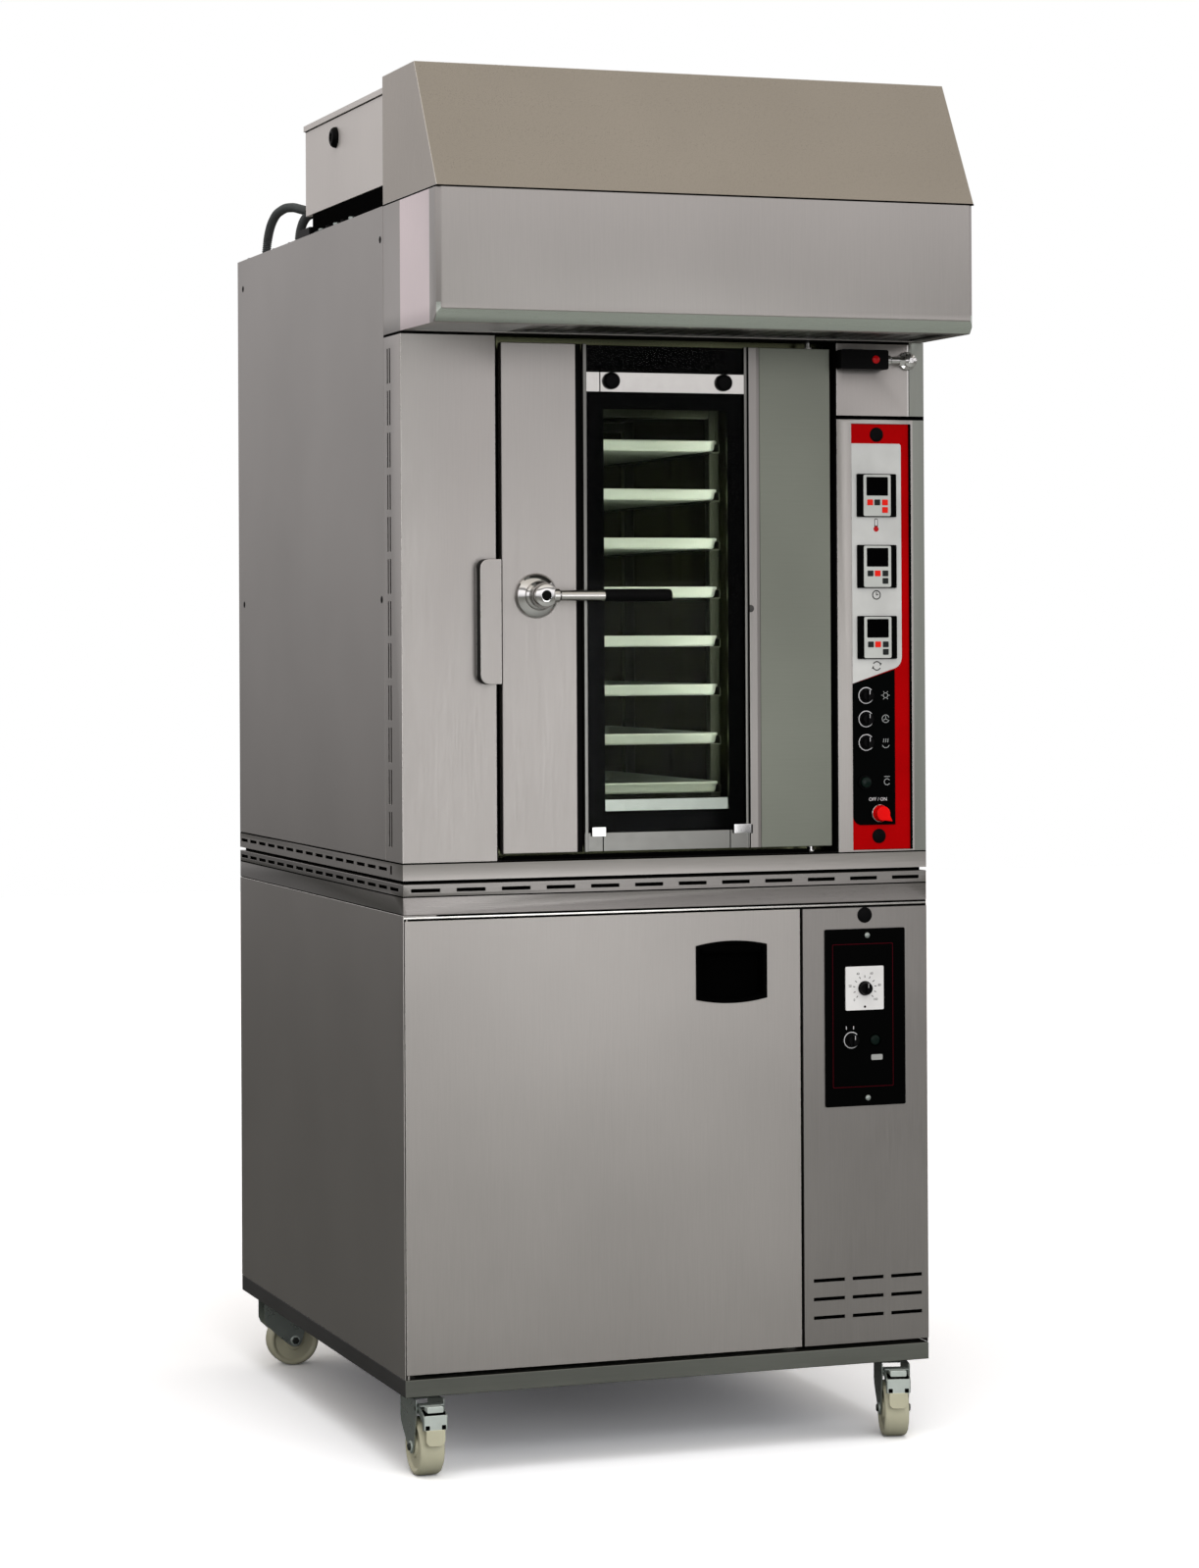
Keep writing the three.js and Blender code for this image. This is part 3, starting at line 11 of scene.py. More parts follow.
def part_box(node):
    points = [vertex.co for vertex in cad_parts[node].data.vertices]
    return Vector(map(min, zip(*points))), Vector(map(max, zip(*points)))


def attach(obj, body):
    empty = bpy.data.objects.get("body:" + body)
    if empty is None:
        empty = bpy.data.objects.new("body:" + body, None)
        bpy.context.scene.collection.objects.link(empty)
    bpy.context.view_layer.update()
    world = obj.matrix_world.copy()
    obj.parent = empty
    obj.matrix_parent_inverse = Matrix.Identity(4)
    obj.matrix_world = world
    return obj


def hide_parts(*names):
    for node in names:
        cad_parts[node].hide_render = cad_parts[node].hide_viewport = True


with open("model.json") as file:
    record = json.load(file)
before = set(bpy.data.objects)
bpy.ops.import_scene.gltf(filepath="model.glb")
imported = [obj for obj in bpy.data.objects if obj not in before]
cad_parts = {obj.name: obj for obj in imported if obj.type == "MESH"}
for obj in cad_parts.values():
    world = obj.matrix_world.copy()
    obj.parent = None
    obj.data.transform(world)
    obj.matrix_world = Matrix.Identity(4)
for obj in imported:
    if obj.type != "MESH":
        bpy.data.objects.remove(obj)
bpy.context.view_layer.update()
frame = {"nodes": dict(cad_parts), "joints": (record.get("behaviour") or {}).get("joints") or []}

bl_info = {
    "name": "Rotating rack oven",
    "version": (1, 0, 0),
    "blender": (4, 5, 0),
    "location": "View3D > Sidebar > Rack Oven",
    "description": "Builds the pieces, finishes and studio of a rotating rack oven on its packed frame",
    "category": "Object",
}

MM = 0.001
CABINET = "cabinet"


# ---------------------------------------------------------------- places taken from the frame


def extent(node):
    """A node's box at rest in millimetres: x0, x1, y0, y1, z0, z1."""
    low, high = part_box(node)
    return [value / MM for pair in zip(low, high) for value in pair]


BASE = extent("base_tray")
TOP = extent("prover_top")
PLINTH = extent("oven_plinth")
DOOR = extent("oven_door")
GLASS = extent("door_glass_outer")
INNER_GLASS = extent("door_glass_inner")
FASCIA = extent("control_fascia")
LOWER_HOOD = extent("hood_lower")
UPPER_HOOD = extent("hood_upper")
EXTRACTOR = extent("extractor_box")
ROOF = extent("oven_roof")
PANEL = extent("prover_front_panel")
PROVER_DOOR = extent("prover_door")
CONTROL_PLATE = extent("prover_control_plate")
LEVER = extent("door_lever")
RACK = extent("rack_with_trays")

SIDE = BASE[1]
FRONT = BASE[2]
BACK = BASE[3]
DOOR_BOTTOM = GLASS[4]
DOOR_TOP = GLASS[5]
JAMB_WIDTH = 170
DOOR_PLUG_HEIGHT = 1488
SILL_END = 262
GROMMET_PLACE = (86, 2367)
DOOR_SKIN = 20


def joint_place(name):
    """A joint's point in millimetres."""
    for joint in frame["joints"]:
        if joint["name"] == name:
            return Vector(joint["pos_m"]) / MM
    raise ValueError("the frame has no joint named " + name)


# ---------------------------------------------------------------- settings


def length_setting(name, description, default):
    return bpy.props.FloatProperty(name=name, description=description, default=default, unit="LENGTH")


def colour_setting(name, description, default):
    return bpy.props.FloatVectorProperty(name=name, description=description, default=default, subtype="COLOR")


class RackOvenSizes(bpy.types.PropertyGroup):
    """Sizes that a user would change."""

    fold_radius: length_setting("Fold radius", "Radius of the folded sheet's corners", 0.0018)
    screw_radius: length_setting("Screw radius", "Radius of a casing screw's head", 0.0066)
    border: length_setting("Glass border", "Width of the door glass's black border", 0.0335)
    trim: length_setting("Window trim", "Width of the bright strips beside the door glass", 0.007)
    tray_rim: length_setting("Tray rim", "Radius of the rolled edge of a tray", 0.0025)
    rib_pitch: length_setting("Rib pitch", "Distance between the conduit's ribs", 0.0042)


class RackOvenColours(bpy.types.PropertyGroup):
    """Colours that a user would change."""

    steel: colour_setting("Steel", "Satin stainless sheet", (0.46, 0.44, 0.425))
    fascia: colour_setting("Fascia", "Red control column", (0.40, 0.0005, 0.0015))
    nylon: colour_setting("Wheels", "Cream nylon wheels", (0.58, 0.57, 0.42))
    floor: colour_setting("Floor", "Studio floor", (0.92, 0.94, 0.98))


def sizes():
    return bpy.context.scene.rack_oven_sizes


def colours():
    return bpy.context.scene.rack_oven_colours


# ---------------------------------------------------------------- finishes

FINISHES = {}
NOISE_ENDS = (0.3, 0.7)
BUMP_DISTANCE = 0.0002
GRAIN = {"x": (0.012, 1, 1), "y": (1, 0.012, 1), "z": (1, 1, 0.012)}


def finish(name):
    """The material of that name, built the first time it is asked for."""
    if name not in FINISHES:
        FINISHES[name] = RECIPES[name](name)
    return FINISHES[name]


def new_material(name):
    material = bpy.data.materials.new(name)
    material.use_nodes = True
    nodes = material.node_tree.nodes
    return material, nodes, material.node_tree.links, nodes["Principled BSDF"]


def add(nodes, kind, inputs=None, **settings):
    """A new node with its own settings and its inputs' values."""
    node = nodes.new(kind)
    for name, value in settings.items():
        setattr(node, name, value)
    for name, value in (inputs or {}).items():
        node.inputs[name].default_value = value
    return node


def wire(links, *runs):
    """Links a source's output to a target's input, run by run."""
    for source, output, target, entry in runs:
        links.new(source.outputs[output], target.inputs[entry])


def mapped(nodes, low, high, first=0.0, last=1.0):
    """A node that maps low and high to first and last."""
    return add(nodes, "ShaderNodeMapRange", {
        "From Min": low, "From Max": high, "To Min": first, "To Max": last,
    })


def object_noise(nodes, links, scale, detail=3.0, stretch=(1, 1, 1)):
    """Noise on object coordinates, drawn out along an axis by a small stretch there."""
    place = nodes.new("ShaderNodeTexCoord")
    mapping = add(nodes, "ShaderNodeMapping", {"Scale": stretch})
    noise = add(nodes, "ShaderNodeTexNoise", {"Scale": scale, "Detail": detail})
    wire(links, (place, "Object", mapping, "Vector"), (mapping, "Vector", noise, "Vector"))
    return noise.outputs["Fac"]


def ramp(nodes, links, source, low, high):
    """Two colours or greys between a noise's usual ends."""
    node = nodes.new("ShaderNodeValToRGB")
    first, last = node.color_ramp.elements
    first.position, last.position = NOISE_ENDS
    first.color, last.color = (*low, 1), (*high, 1)
    links.new(source, node.inputs["Fac"])
    return node.outputs["Color"]


def spread(nodes, links, source, low, high):
    """A number between two ends as a noise runs between its own."""
    node = mapped(nodes, *NOISE_ENDS, low, high)
    links.new(source, node.inputs["Value"])
    return node.outputs["Result"]


def bump(nodes, links, source, shader, strength):
    node = add(nodes, "ShaderNodeBump", {"Strength": strength, "Distance": BUMP_DISTANCE})
    links.new(source, node.inputs["Height"])
    wire(links, (node, "Normal", shader, "Normal"))


def cover(links, shader, colour, roughness, values):
    """Colour and roughness from other nodes, and the shader's fixed values."""
    links.new(colour, shader.inputs["Base Color"])
    links.new(roughness, shader.inputs["Roughness"])
    for name, value in values.items():
        shader.inputs[name].default_value = value


def shade(colour, factor):
    return tuple(min(1.0, channel * factor) for channel in colour)


def steel(factor=1.0):
    """The steel's colour, read from the settings when the finish is built."""
    return lambda: shade(colours().steel, factor)


def tone(colour):
    return colour() if callable(colour) else colour


def recipe(build):
    """Lets a finish be described first and built when its name is asked for."""

    def describe(*values, **options):
        return lambda name: build(name, *values, **options)

    return describe


@recipe
def brushed(name, colour, roughness, grain="z", metallic=0.92, depth=0.10, mottle=0.05):
    """Sheet metal with a fine grain along an axis and faint clouding from rolling."""
    material, nodes, links, shader = new_material(name)
    tint = tone(colour)
    clouds = object_noise(nodes, links, 2.6, 2.0)
    grain_lines = object_noise(nodes, links, 1400, 2.0, GRAIN[grain])
    mix = add(nodes, "ShaderNodeMix", {}, data_type="RGBA", blend_type="MULTIPLY")
    mix.inputs["Factor"].default_value = 1.0
    links.new(ramp(nodes, links, clouds, shade(tint, 1 - mottle), shade(tint, 1 + mottle)), mix.inputs["A"])
    links.new(ramp(nodes, links, grain_lines, (0.93, 0.93, 0.93), (1.0, 1.0, 1.0)), mix.inputs["B"])
    rough = spread(nodes, links, grain_lines, roughness - 0.035, roughness + 0.05)
    cover(links, shader, mix.outputs["Result"], rough, {"Metallic": metallic})
    bump(nodes, links, grain_lines, shader, depth)
    return material


@recipe
def polished(name, colour, roughness, metallic=1.0):
    """Bright metal with faint wiping marks."""
    material, nodes, links, shader = new_material(name)
    marks = object_noise(nodes, links, 60, 4.0)
    tint = ramp(nodes, links, marks, shade(colour, 0.95), colour)
    rough = spread(nodes, links, marks, roughness, roughness + 0.06)
    cover(links, shader, tint, rough, {"Metallic": metallic})
    bump(nodes, links, marks, shader, 0.03)
    return material


@recipe
def moulded(name, colour, roughness, grain=900, depth=0.25, gloss=0.5):
    """Plastic, rubber or paint with a fine skin."""
    material, nodes, links, shader = new_material(name)
    base = tone(colour)
    skin = object_noise(nodes, links, grain, 2.0)
    clouds = object_noise(nodes, links, 14, 3.0)
    tint = ramp(nodes, links, clouds, shade(base, 0.9), shade(base, 1.06))
    rough = spread(nodes, links, skin, roughness - 0.04, roughness + 0.06)
    cover(links, shader, tint, rough, {"Specular IOR Level": gloss})
    bump(nodes, links, skin, shader, depth)
    return material


@recipe
def clear_pane(name, tint, bending, shine_level):
    """Thin glass: mostly see-through, with a mirror's shine at a glance."""
    material, nodes, links, shader = new_material(name)
    nodes.remove(shader)
    smears = object_noise(nodes, links, 9, 3.0)
    through = add(nodes, "ShaderNodeBsdfTransparent", {"Color": (*tint, 1)})
    shine = add(nodes, "ShaderNodeBsdfGlossy", {"Color": (shine_level, shine_level, shine_level, 1)})
    links.new(spread(nodes, links, smears, 0.003, 0.012), shine.inputs["Roughness"])
    edge = add(nodes, "ShaderNodeFresnel", {"IOR": bending})
    mix = nodes.new("ShaderNodeMixShader")
    wire(
        links, (edge, "Fac", mix, "Fac"), (through, "BSDF", mix, 1), (shine, "BSDF", mix, 2),
        (mix, "Shader", nodes["Material Output"], "Surface"),
    )
    return material


@recipe
def glowing(name, colour, strength):
    """A lamp's diffuser."""
    material, nodes, links, shader = new_material(name)
    frosting = object_noise(nodes, links, 300, 2.0)
    links.new(ramp(nodes, links, frosting, shade(colour, 0.93), colour), shader.inputs["Base Color"])
    shader.inputs["Roughness"].default_value = 0.4
    shader.inputs["Emission Color"].default_value = (*colour, 1)
    shader.inputs["Emission Strength"].default_value = strength
    return material


RECIPES = {
    "steel_upright": brushed(steel(), 0.36, "z"),
    "steel_level": brushed(steel(), 0.36, "x"),
    "steel_depth": brushed(steel(), 0.36, "y"),
    "steel_hood": brushed((0.45, 0.415, 0.37), 0.3, "z", depth=0.14),
    # painted light: a lighter, greener copy of the steel for the hood's lower chamfer
    "steel_bevel": brushed((0.68, 0.74, 0.68), 0.3, "x"),
    # painted shade: a darker copy of the steel for the prover's front panel, the door's fold strip and the
    # strike cover's face
    "steel_shaded": brushed(steel(0.68), 0.32, "z", mottle=0.08),
    "steel_plinth": brushed(steel(), 0.32, "x", mottle=0.08),
    # painted shade: a darker copy of the steel for the band between the cabinet and the oven
    "steel_band": brushed(steel(0.62), 0.3, "x", mottle=0.1),
    # painted shade: a darker copy of the steel for the base tray
    "steel_tray": brushed((0.20, 0.21, 0.19), 0.34, "x", mottle=0.1),
    # painted shade: a darker, greener copy of the steel, with a level grain, for the door's right panel
    "steel_cross": brushed((0.22, 0.235, 0.20), 0.4, "x", mottle=0.12),
    # painted reflection: a pale pink copy of the steel for the front of the lower hood's sides
    "steel_corner": brushed((0.95, 0.84, 0.87), 0.42, "z", metallic=0.65),
    # polished steel, also drawn as strips of painted highlight at the prover door's top edge and beside the
    # column's fold
    "steel_bright": polished((0.68, 0.67, 0.65), 0.16),
    # painted highlight: a bright finish on the rounded folds of sheets
    "steel_edge": polished((0.88, 0.86, 0.83), 0.25),
    # painted shade: a darker copy of the steel for the column's right strips
    "steel_strip": brushed((0.28, 0.295, 0.27), 0.36, "z"),
    # painted light: a lighter, less metallic copy of the steel for the plate in the hood's mouth
    "steel_under": brushed((0.52, 0.52, 0.52), 0.5, "y", metallic=0.35),
    # painted shade: a near-black copy of the steel for the filters in the hood's mouth
    "steel_baffle": brushed((0.10, 0.10, 0.095), 0.35, "y", mottle=0.15),
    "steel_sill": polished((0.42, 0.43, 0.42), 0.2),
    # painted shade: a dark copy of the polished steel for the window trims and the bottom rail
    "steel_trim": polished((0.19, 0.19, 0.18), 0.2),
    # painted shade: a dark, green-tinted, clouded copy of the steel for the unlit chamber and the door's
    # inner box
    "steel_chamber": brushed((0.16, 0.17, 0.10), 0.2, "z", metallic=1.0, mottle=0.35),
    # painted shade: a near-black copy of the steel for the rack and lamp housings in the unlit chamber
    "steel_rack": brushed((0.045, 0.048, 0.036), 0.3, "z", mottle=0.1),
    # dark steel for the motors, heater and door plug, and painted shade on the base tray's left side
    "steel_dark": brushed((0.10, 0.10, 0.10), 0.5, "x", mottle=0.2),
    # painted light: a lighter copy of the steel for the extractor box on the roof
    "extractor_steel": brushed(steel(1.8), 0.42, "z", metallic=0.6),
    "zinc": polished((0.40, 0.45, 0.43), 0.26, metallic=0.8),
    # bright zinc, lightened as painted light, for the brake pads, plates and axle washers
    "zinc_bright": polished((0.72, 0.80, 0.76), 0.28, metallic=0.5),
    # dark zinc, darkened as painted shade, for the casters' crowns, swivel races and axle nuts
    "zinc_dark": polished((0.07, 0.08, 0.075), 0.3),
    "chrome": polished((0.84, 0.84, 0.84), 0.04),
    "tray_aluminium": brushed((0.76, 0.79, 0.73), 0.45, "x", metallic=0.3, mottle=0.05),
    "black_plastic": moulded((0.0022, 0.0022, 0.0025), 0.4, gloss=0.05),
    "black_gloss": moulded((0.0006, 0.0006, 0.0007), 0.1, depth=0.0, gloss=0.008),
    "black_rubber": moulded((0.0025, 0.0025, 0.0025), 0.62, 400, gloss=0.05),
    "black_shadow": moulded((0.0008, 0.0008, 0.0008), 0.9, 400, gloss=0.01),
    "black_plate": moulded((0.0009, 0.001, 0.001), 0.3, 1200, 0.1, gloss=0.015),
    "fascia_red": moulded(lambda: colours().fascia, 0.3, 1200, 0.06, gloss=0.015),
    "knob_red": moulded((0.80, 0.002, 0.002), 0.25, 900, 0.05, gloss=0.1),
    "lens_red": moulded((0.42, 0.002, 0.004), 0.2, 900, 0.05, gloss=0.2),
    "key_red": moulded((0.80, 0.02, 0.012), 0.4, 900, 0.05, gloss=0.05),
    "key_dark": moulded((0.016, 0.019, 0.019), 0.45, 900, 0.1, gloss=0.1),
    "print_white": moulded((0.68, 0.68, 0.70), 0.4, 1200, 0.03),
    "print_grey": moulded((0.36, 0.38, 0.38), 0.4, 1200, 0.03),
    "print_black": moulded((0.0009, 0.0012, 0.0012), 0.35, 1200, 0.03, gloss=0.015),
    "print_red": moulded((0.10, 0.001, 0.008), 0.4, 1200, 0.03, gloss=0.02),
    "controller_face": moulded((0.50, 0.52, 0.50), 0.35, 1200, 0.05),
    "lamp_green": moulded((0.001, 0.007, 0.005), 0.2, 900, 0.03, gloss=0.15),
    "label_grey": moulded((0.34, 0.35, 0.34), 0.4, 1200, 0.05),
    "dial_white": moulded((0.76, 0.76, 0.76), 0.35, 1200, 0.03, gloss=0.1),
    "print_pale": moulded((0.58, 0.59, 0.58), 0.35, 1200, 0.03, gloss=0.1),
    "nylon": moulded(lambda: colours().nylon, 0.42, 500, 0.15),
    "conduit_grey": moulded((0.06, 0.068, 0.07), 0.5, 600, 0.2, gloss=0.4),
    "wool": moulded((0.42, 0.32, 0.10), 0.95, 180, 1.0),
    "door_glass": clear_pane((0.93, 0.95, 0.93), 1.09, 0.7),
    "inner_glass": clear_pane((0.97, 0.98, 0.96), 1.06, 0.6),
    "lamp_glow": glowing((0.98, 1.0, 0.92), 16.0),
}


# ---------------------------------------------------------------- forms


def around(u, v, radius, angle):
    """A point on a circle, by its angle in degrees."""
    turn = math.radians(angle)
    return u + radius * math.cos(turn), v + radius * math.sin(turn)


def rounded(u0, u1, v0, v1, radii, steps=6):
    """A rectangle's outline with a radius at each corner: low-low, high-low, high-high, low-high."""
    if not isinstance(radii, (list, tuple)):
        radii = [radii] * 4
    corners = [(u0, v0, 180), (u1, v0, 270), (u1, v1, 0), (u0, v1, 90)]
    points = []
    for (u, v, start), radius in zip(corners, radii):
        if radius <= 0:
            points.append((u, v))
            continue
        cu = u + radius if u == u0 else u - radius
        cv = v + radius if v == v0 else v - radius
        points += [around(cu, cv, radius, start + 90 * i / steps) for i in range(steps + 1)]
    return points


def circle(cu, cv, radius, steps=32):
    return [
        (cu + radius * math.cos(2 * math.pi * i / steps), cv + radius * math.sin(2 * math.pi * i / steps))
        for i in range(steps)
    ]


AXES = {
    "x": lambda u, v, w: (w, u, v),
    "y": lambda u, v, w: (u, w, v),
    "z": lambda u, v, w: (u, v, w),
}
EDGE_ANGLE = math.radians(25)
SMOOTH_ANGLE = math.radians(32)


def bridge(shape, first, second):
    """Four-sided faces between two closed rings of as many points."""
    for i, j in zip(range(len(first)), [*range(1, len(first)), 0]):
        shape.faces.new((first[i], first[j], second[j], second[i]))


class Form:
    """Shapes in millimetres that become one piece."""

    def __init__(self):
        self.bm = bmesh.new()
        self.materials = []

    def slot_of(self, name):
        if name not in self.materials:
            self.materials.append(name)
        return self.materials.index(name)

    def take(self, shape, material, edge=0.0, segments=2):
        bmesh.ops.recalc_face_normals(shape, faces=shape.faces)
        if edge:
            bmesh.ops.bevel(
                shape, geom=[e for e in shape.edges if e.calc_face_angle(0) > EDGE_ANGLE], offset=edge,
                segments=segments, profile=0.5, affect="EDGES", clamp_overlap=True,
            )
        index = self.slot_of(material)
        for face in shape.faces:
            face.material_index = index
            face.smooth = True
        carrier = bpy.data.meshes.new("shape")
        shape.to_mesh(carrier)
        shape.free()
        self.bm.from_mesh(carrier)
        bpy.data.meshes.remove(carrier)
        return self

    def box(self, x0, x1, y0, y1, z0, z1, material, edge=0.0, segments=2):
        return self.prism([(x0, y0), (x1, y0), (x1, y1), (x0, y1)], "z", z0, z1, material, edge, segments)

    def prism(self, outline, axis, low, high, material, edge=0.0, segments=2):
        """An outline drawn out along an axis. Its points are (y, z), (x, z) or (x, y)."""
        shape = bmesh.new()
        low_ring, high_ring = (
            [shape.verts.new(AXES[axis](u, v, w)) for u, v in outline] for w in (low, high)
        )
        shape.faces.new(low_ring)
        shape.faces.new(high_ring)
        bridge(shape, low_ring, high_ring)
        return self.take(shape, material, edge, segments)

    def frame_plate(self, outer, inner, axis, low, high, material):
        """A flat frame between two outlines of as many points."""
        shape = bmesh.new()
        loops = [
            [shape.verts.new(AXES[axis](u, v, w)) for u, v in outline]
            for w in (low, high)
            for outline in (outer, inner)
        ]
        for first, second in ((0, 1), (1, 3), (3, 2), (2, 0)):
            bridge(shape, loops[first], loops[second])
        return self.take(shape, material)

    def turned(self, profile, axis, centre, material, steps=40):
        """A profile of (radius, height) turned about a line through centre. A minus turns it round."""
        shape = bmesh.new()
        sign = -1 if axis.startswith("-") else 1
        place = AXES[axis[-1]]
        origin = Vector(centre)
        closed = profile[0] == profile[-1]
        if closed:
            profile = profile[:-1]
        rings = []
        for radius, height in profile:
            if radius < 1e-6:
                rings.append([shape.verts.new(origin + Vector(place(0, 0, sign * height)))])
                continue
            rings.append([
                shape.verts.new(origin + Vector(place(u, v, sign * height)))
                for u, v in circle(0, 0, radius, steps)
            ])
        pairs = list(zip(rings, rings[1:]))
        if closed:
            pairs.append((rings[-1], rings[0]))
        for first, second in pairs:
            for i in range(steps):
                j = (i + 1) % steps
                corners = [
                    ring[k % len(ring)] for ring, k in ((first, i), (first, j), (second, j), (second, i))
                ]
                distinct = list(dict.fromkeys(corners))
                if len(distinct) > 2:
                    shape.faces.new(distinct)
        return self.take(shape, material)

    def tube(self, path, radius, material, sides=16, closed=False):
        """A round bar along points."""
        shape = bmesh.new()
        points = [Vector(p) for p in path]
        count = len(points)
        side = None
        rings = []
        for i, point in enumerate(points):
            before = points[i - 1] if i or closed else point
            after = points[(i + 1) % count] if i + 1 < count or closed else point
            along = (after - before).normalized()
            if side is None:
                side = along.orthogonal().normalized()
            side = (side - along * side.dot(along)).normalized()
            up = along.cross(side)
            rings.append([
                shape.verts.new(point + side * u + up * v) for u, v in circle(0, 0, radius, sides)
            ])
        for i in range(count if closed else count - 1):
            bridge(shape, rings[i], rings[(i + 1) % count])
        if not closed:
            shape.faces.new(rings[0])
            shape.faces.new(rings[-1])
        return self.take(shape, material)

    def text(self, words, size, centre, depth, material):
        """Generic raised print on a plane that faces front, centred on a point."""
        curve = bpy.data.curves.new("words", "FONT")
        curve.body = words
        curve.size = size
        curve.extrude = depth
        curve.align_x = "CENTER"
        curve.align_y = "CENTER"
        carrier = bpy.data.objects.new("words", curve)
        mesh = bpy.data.meshes.new_from_object(carrier)
        mesh.transform(Matrix.Translation(Vector(centre)) @ Matrix.Rotation(math.pi / 2, 4, "X"))
        shape = bmesh.new()
        shape.from_mesh(mesh)
        bpy.data.objects.remove(carrier)
        bpy.data.meshes.remove(mesh)
        return self.take(shape, material)

    def plain(self, name):
        """Ends the form: a mesh in metres."""
        for vertex in self.bm.verts:
            vertex.co *= MM
        mesh = bpy.data.meshes.new(name)
        self.bm.to_mesh(mesh)
        self.bm.free()
        return mesh

    def piece(self, name, body=CABINET, stands_for=(), slot=None):
        """Ends the form: the object that rides on a body and may stand for CAD nodes."""
        return dress(name, self.plain(name), [finish(m) for m in self.materials], body, stands_for)


def give(mesh, materials):
    """Puts finishes in a mesh's slots in turn. Clearing the slots would set every face back to the first."""
    for i, material in enumerate(materials):
        if i < len(mesh.materials):
            mesh.materials[i] = material
        else:
            mesh.materials.append(material)
    while len(mesh.materials) > len(materials):
        mesh.materials.pop()


def linked(name, data):
    """A new object in the scene."""
    made = bpy.data.objects.new(name, data)
    bpy.context.scene.collection.objects.link(made)
    return made


def dress(name, mesh, materials, body=CABINET, stands_for=()):
    """Links a mesh as a piece with weighted normals, so that flats stay flat beside soft edges."""
    give(mesh, materials)
    mesh.shade_smooth()
    mesh.set_sharp_from_angle(angle=SMOOTH_ANGLE)
    piece = linked(name, mesh)
    weighted = piece.modifiers.new("weighted", "WEIGHTED_NORMAL")
    weighted.keep_sharp = True
    weighted.weight = 80
    settle(piece)
    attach(piece, body)
    if stands_for:
        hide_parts(*([stands_for] if isinstance(stands_for, str) else stands_for))
    return piece


def evaluated(piece):
    """The plain mesh that a piece's modifiers give."""
    bpy.context.view_layer.update()
    graph = bpy.context.evaluated_depsgraph_get()
    return bpy.data.meshes.new_from_object(
        piece.evaluated_get(graph), preserve_all_data_layers=True, depsgraph=graph
    )


def settle(piece):
    """Turns a piece's modifiers into plain mesh."""
    made = evaluated(piece)
    old = piece.data
    piece.modifiers.clear()
    piece.data = made
    made.name = piece.name
    if old.users == 0:
        bpy.data.meshes.remove(old)


WELD_DISTANCE = 2e-5
FLAT_ANGLE = math.radians(1.5)
FOLD_ANGLE = math.radians(28)
FOLD_SHARE = 0.3
SEAM_REACH = 4


def fold_weight(edge, width):
    """How much of the fold's radius an edge gets: all of it, or a share of the narrowest face beside it."""
    start, along = edge.verts[0].co, edge.verts[1].co - edge.verts[0].co
    if along.length < 1e-6:
        return 0.0
    along.normalize()
    reach = [
        max(((v.co - start) - along * (v.co - start).dot(along)).length for v in face.verts)
        for face in edge.link_faces
    ]
    return min(1.0, FOLD_SHARE * min(reach) / width)


def softened(node, material, body=CABINET, width=None, folds=None):
    """A copy of a CAD node with rounded folds, standing for it. Narrow edges get less, and the folds may get
    their own finish, such as a painted highlight.
    """
    width = width or sizes().fold_radius
    shape = bmesh.new()
    shape.from_mesh(frame["nodes"][node].data)
    bmesh.ops.remove_doubles(shape, verts=shape.verts, dist=WELD_DISTANCE)
    bmesh.ops.dissolve_limit(shape, angle_limit=FLAT_ANGLE, verts=shape.verts, edges=shape.edges)
    weights = shape.edges.layers.float.new("bevel_weight_edge")
    for edge in shape.edges:
        if len(edge.link_faces) == 2 and edge.calc_face_angle(0) >= FOLD_ANGLE:
            edge[weights] = fold_weight(edge, width)
    mesh = bpy.data.meshes.new(node + "_sheet")
    shape.to_mesh(mesh)
    shape.free()
    finishes = [finish(material), finish(folds or material)]
    give(mesh, finishes)
    carrier = linked("carrier", mesh)
    bevel = carrier.modifiers.new("fold", "BEVEL")
    bevel.width = width
    bevel.segments = 3
    bevel.limit_method = "WEIGHT"
    bevel.use_clamp_overlap = True
    bevel.material = 1
    settle(carrier)
    made = carrier.data
    bpy.data.objects.remove(carrier)
    return dress(node + "_sheet", made, finishes, body, node)


def banded(piece, axis, low, high, material, chosen=None):
    """Parts a piece at two planes across an axis and gives the faces between them another finish."""
    shape = bmesh.new()
    shape.from_mesh(piece.data)
    normal = Vector([1 if i == axis else 0 for i in range(3)])
    for place in (low, high):
        parts = shape.verts[:] + shape.edges[:] + shape.faces[:]
        bmesh.ops.bisect_plane(shape, geom=parts, plane_co=normal * place * MM, plane_no=normal)
    index = len(piece.data.materials)
    for face in shape.faces:
        centre = face.calc_center_median() / MM
        if low < centre[axis] < high and (chosen is None or chosen(centre)):
            face.material_index = index
    shape.to_mesh(piece.data)
    shape.free()
    give(piece.data, [*piece.data.materials, finish(material)])


def open_seam(piece, axis, place, gap):
    """Moves a sheet's edge back, so that the joint to its neighbour shows as a dark line."""
    for vertex in piece.data.vertices:
        if abs(vertex.co[axis] / MM - place) < SEAM_REACH:
            vertex.co[axis] += gap * MM


def paint(material, *nodes):
    """Gives CAD nodes that keep their shape a finish."""
    for node in nodes:
        mesh = frame["nodes"][node].data
        mesh.materials.clear()
        mesh.materials.append(finish(material))


# ---------------------------------------------------------------- repeated pieces, by Geometry Nodes


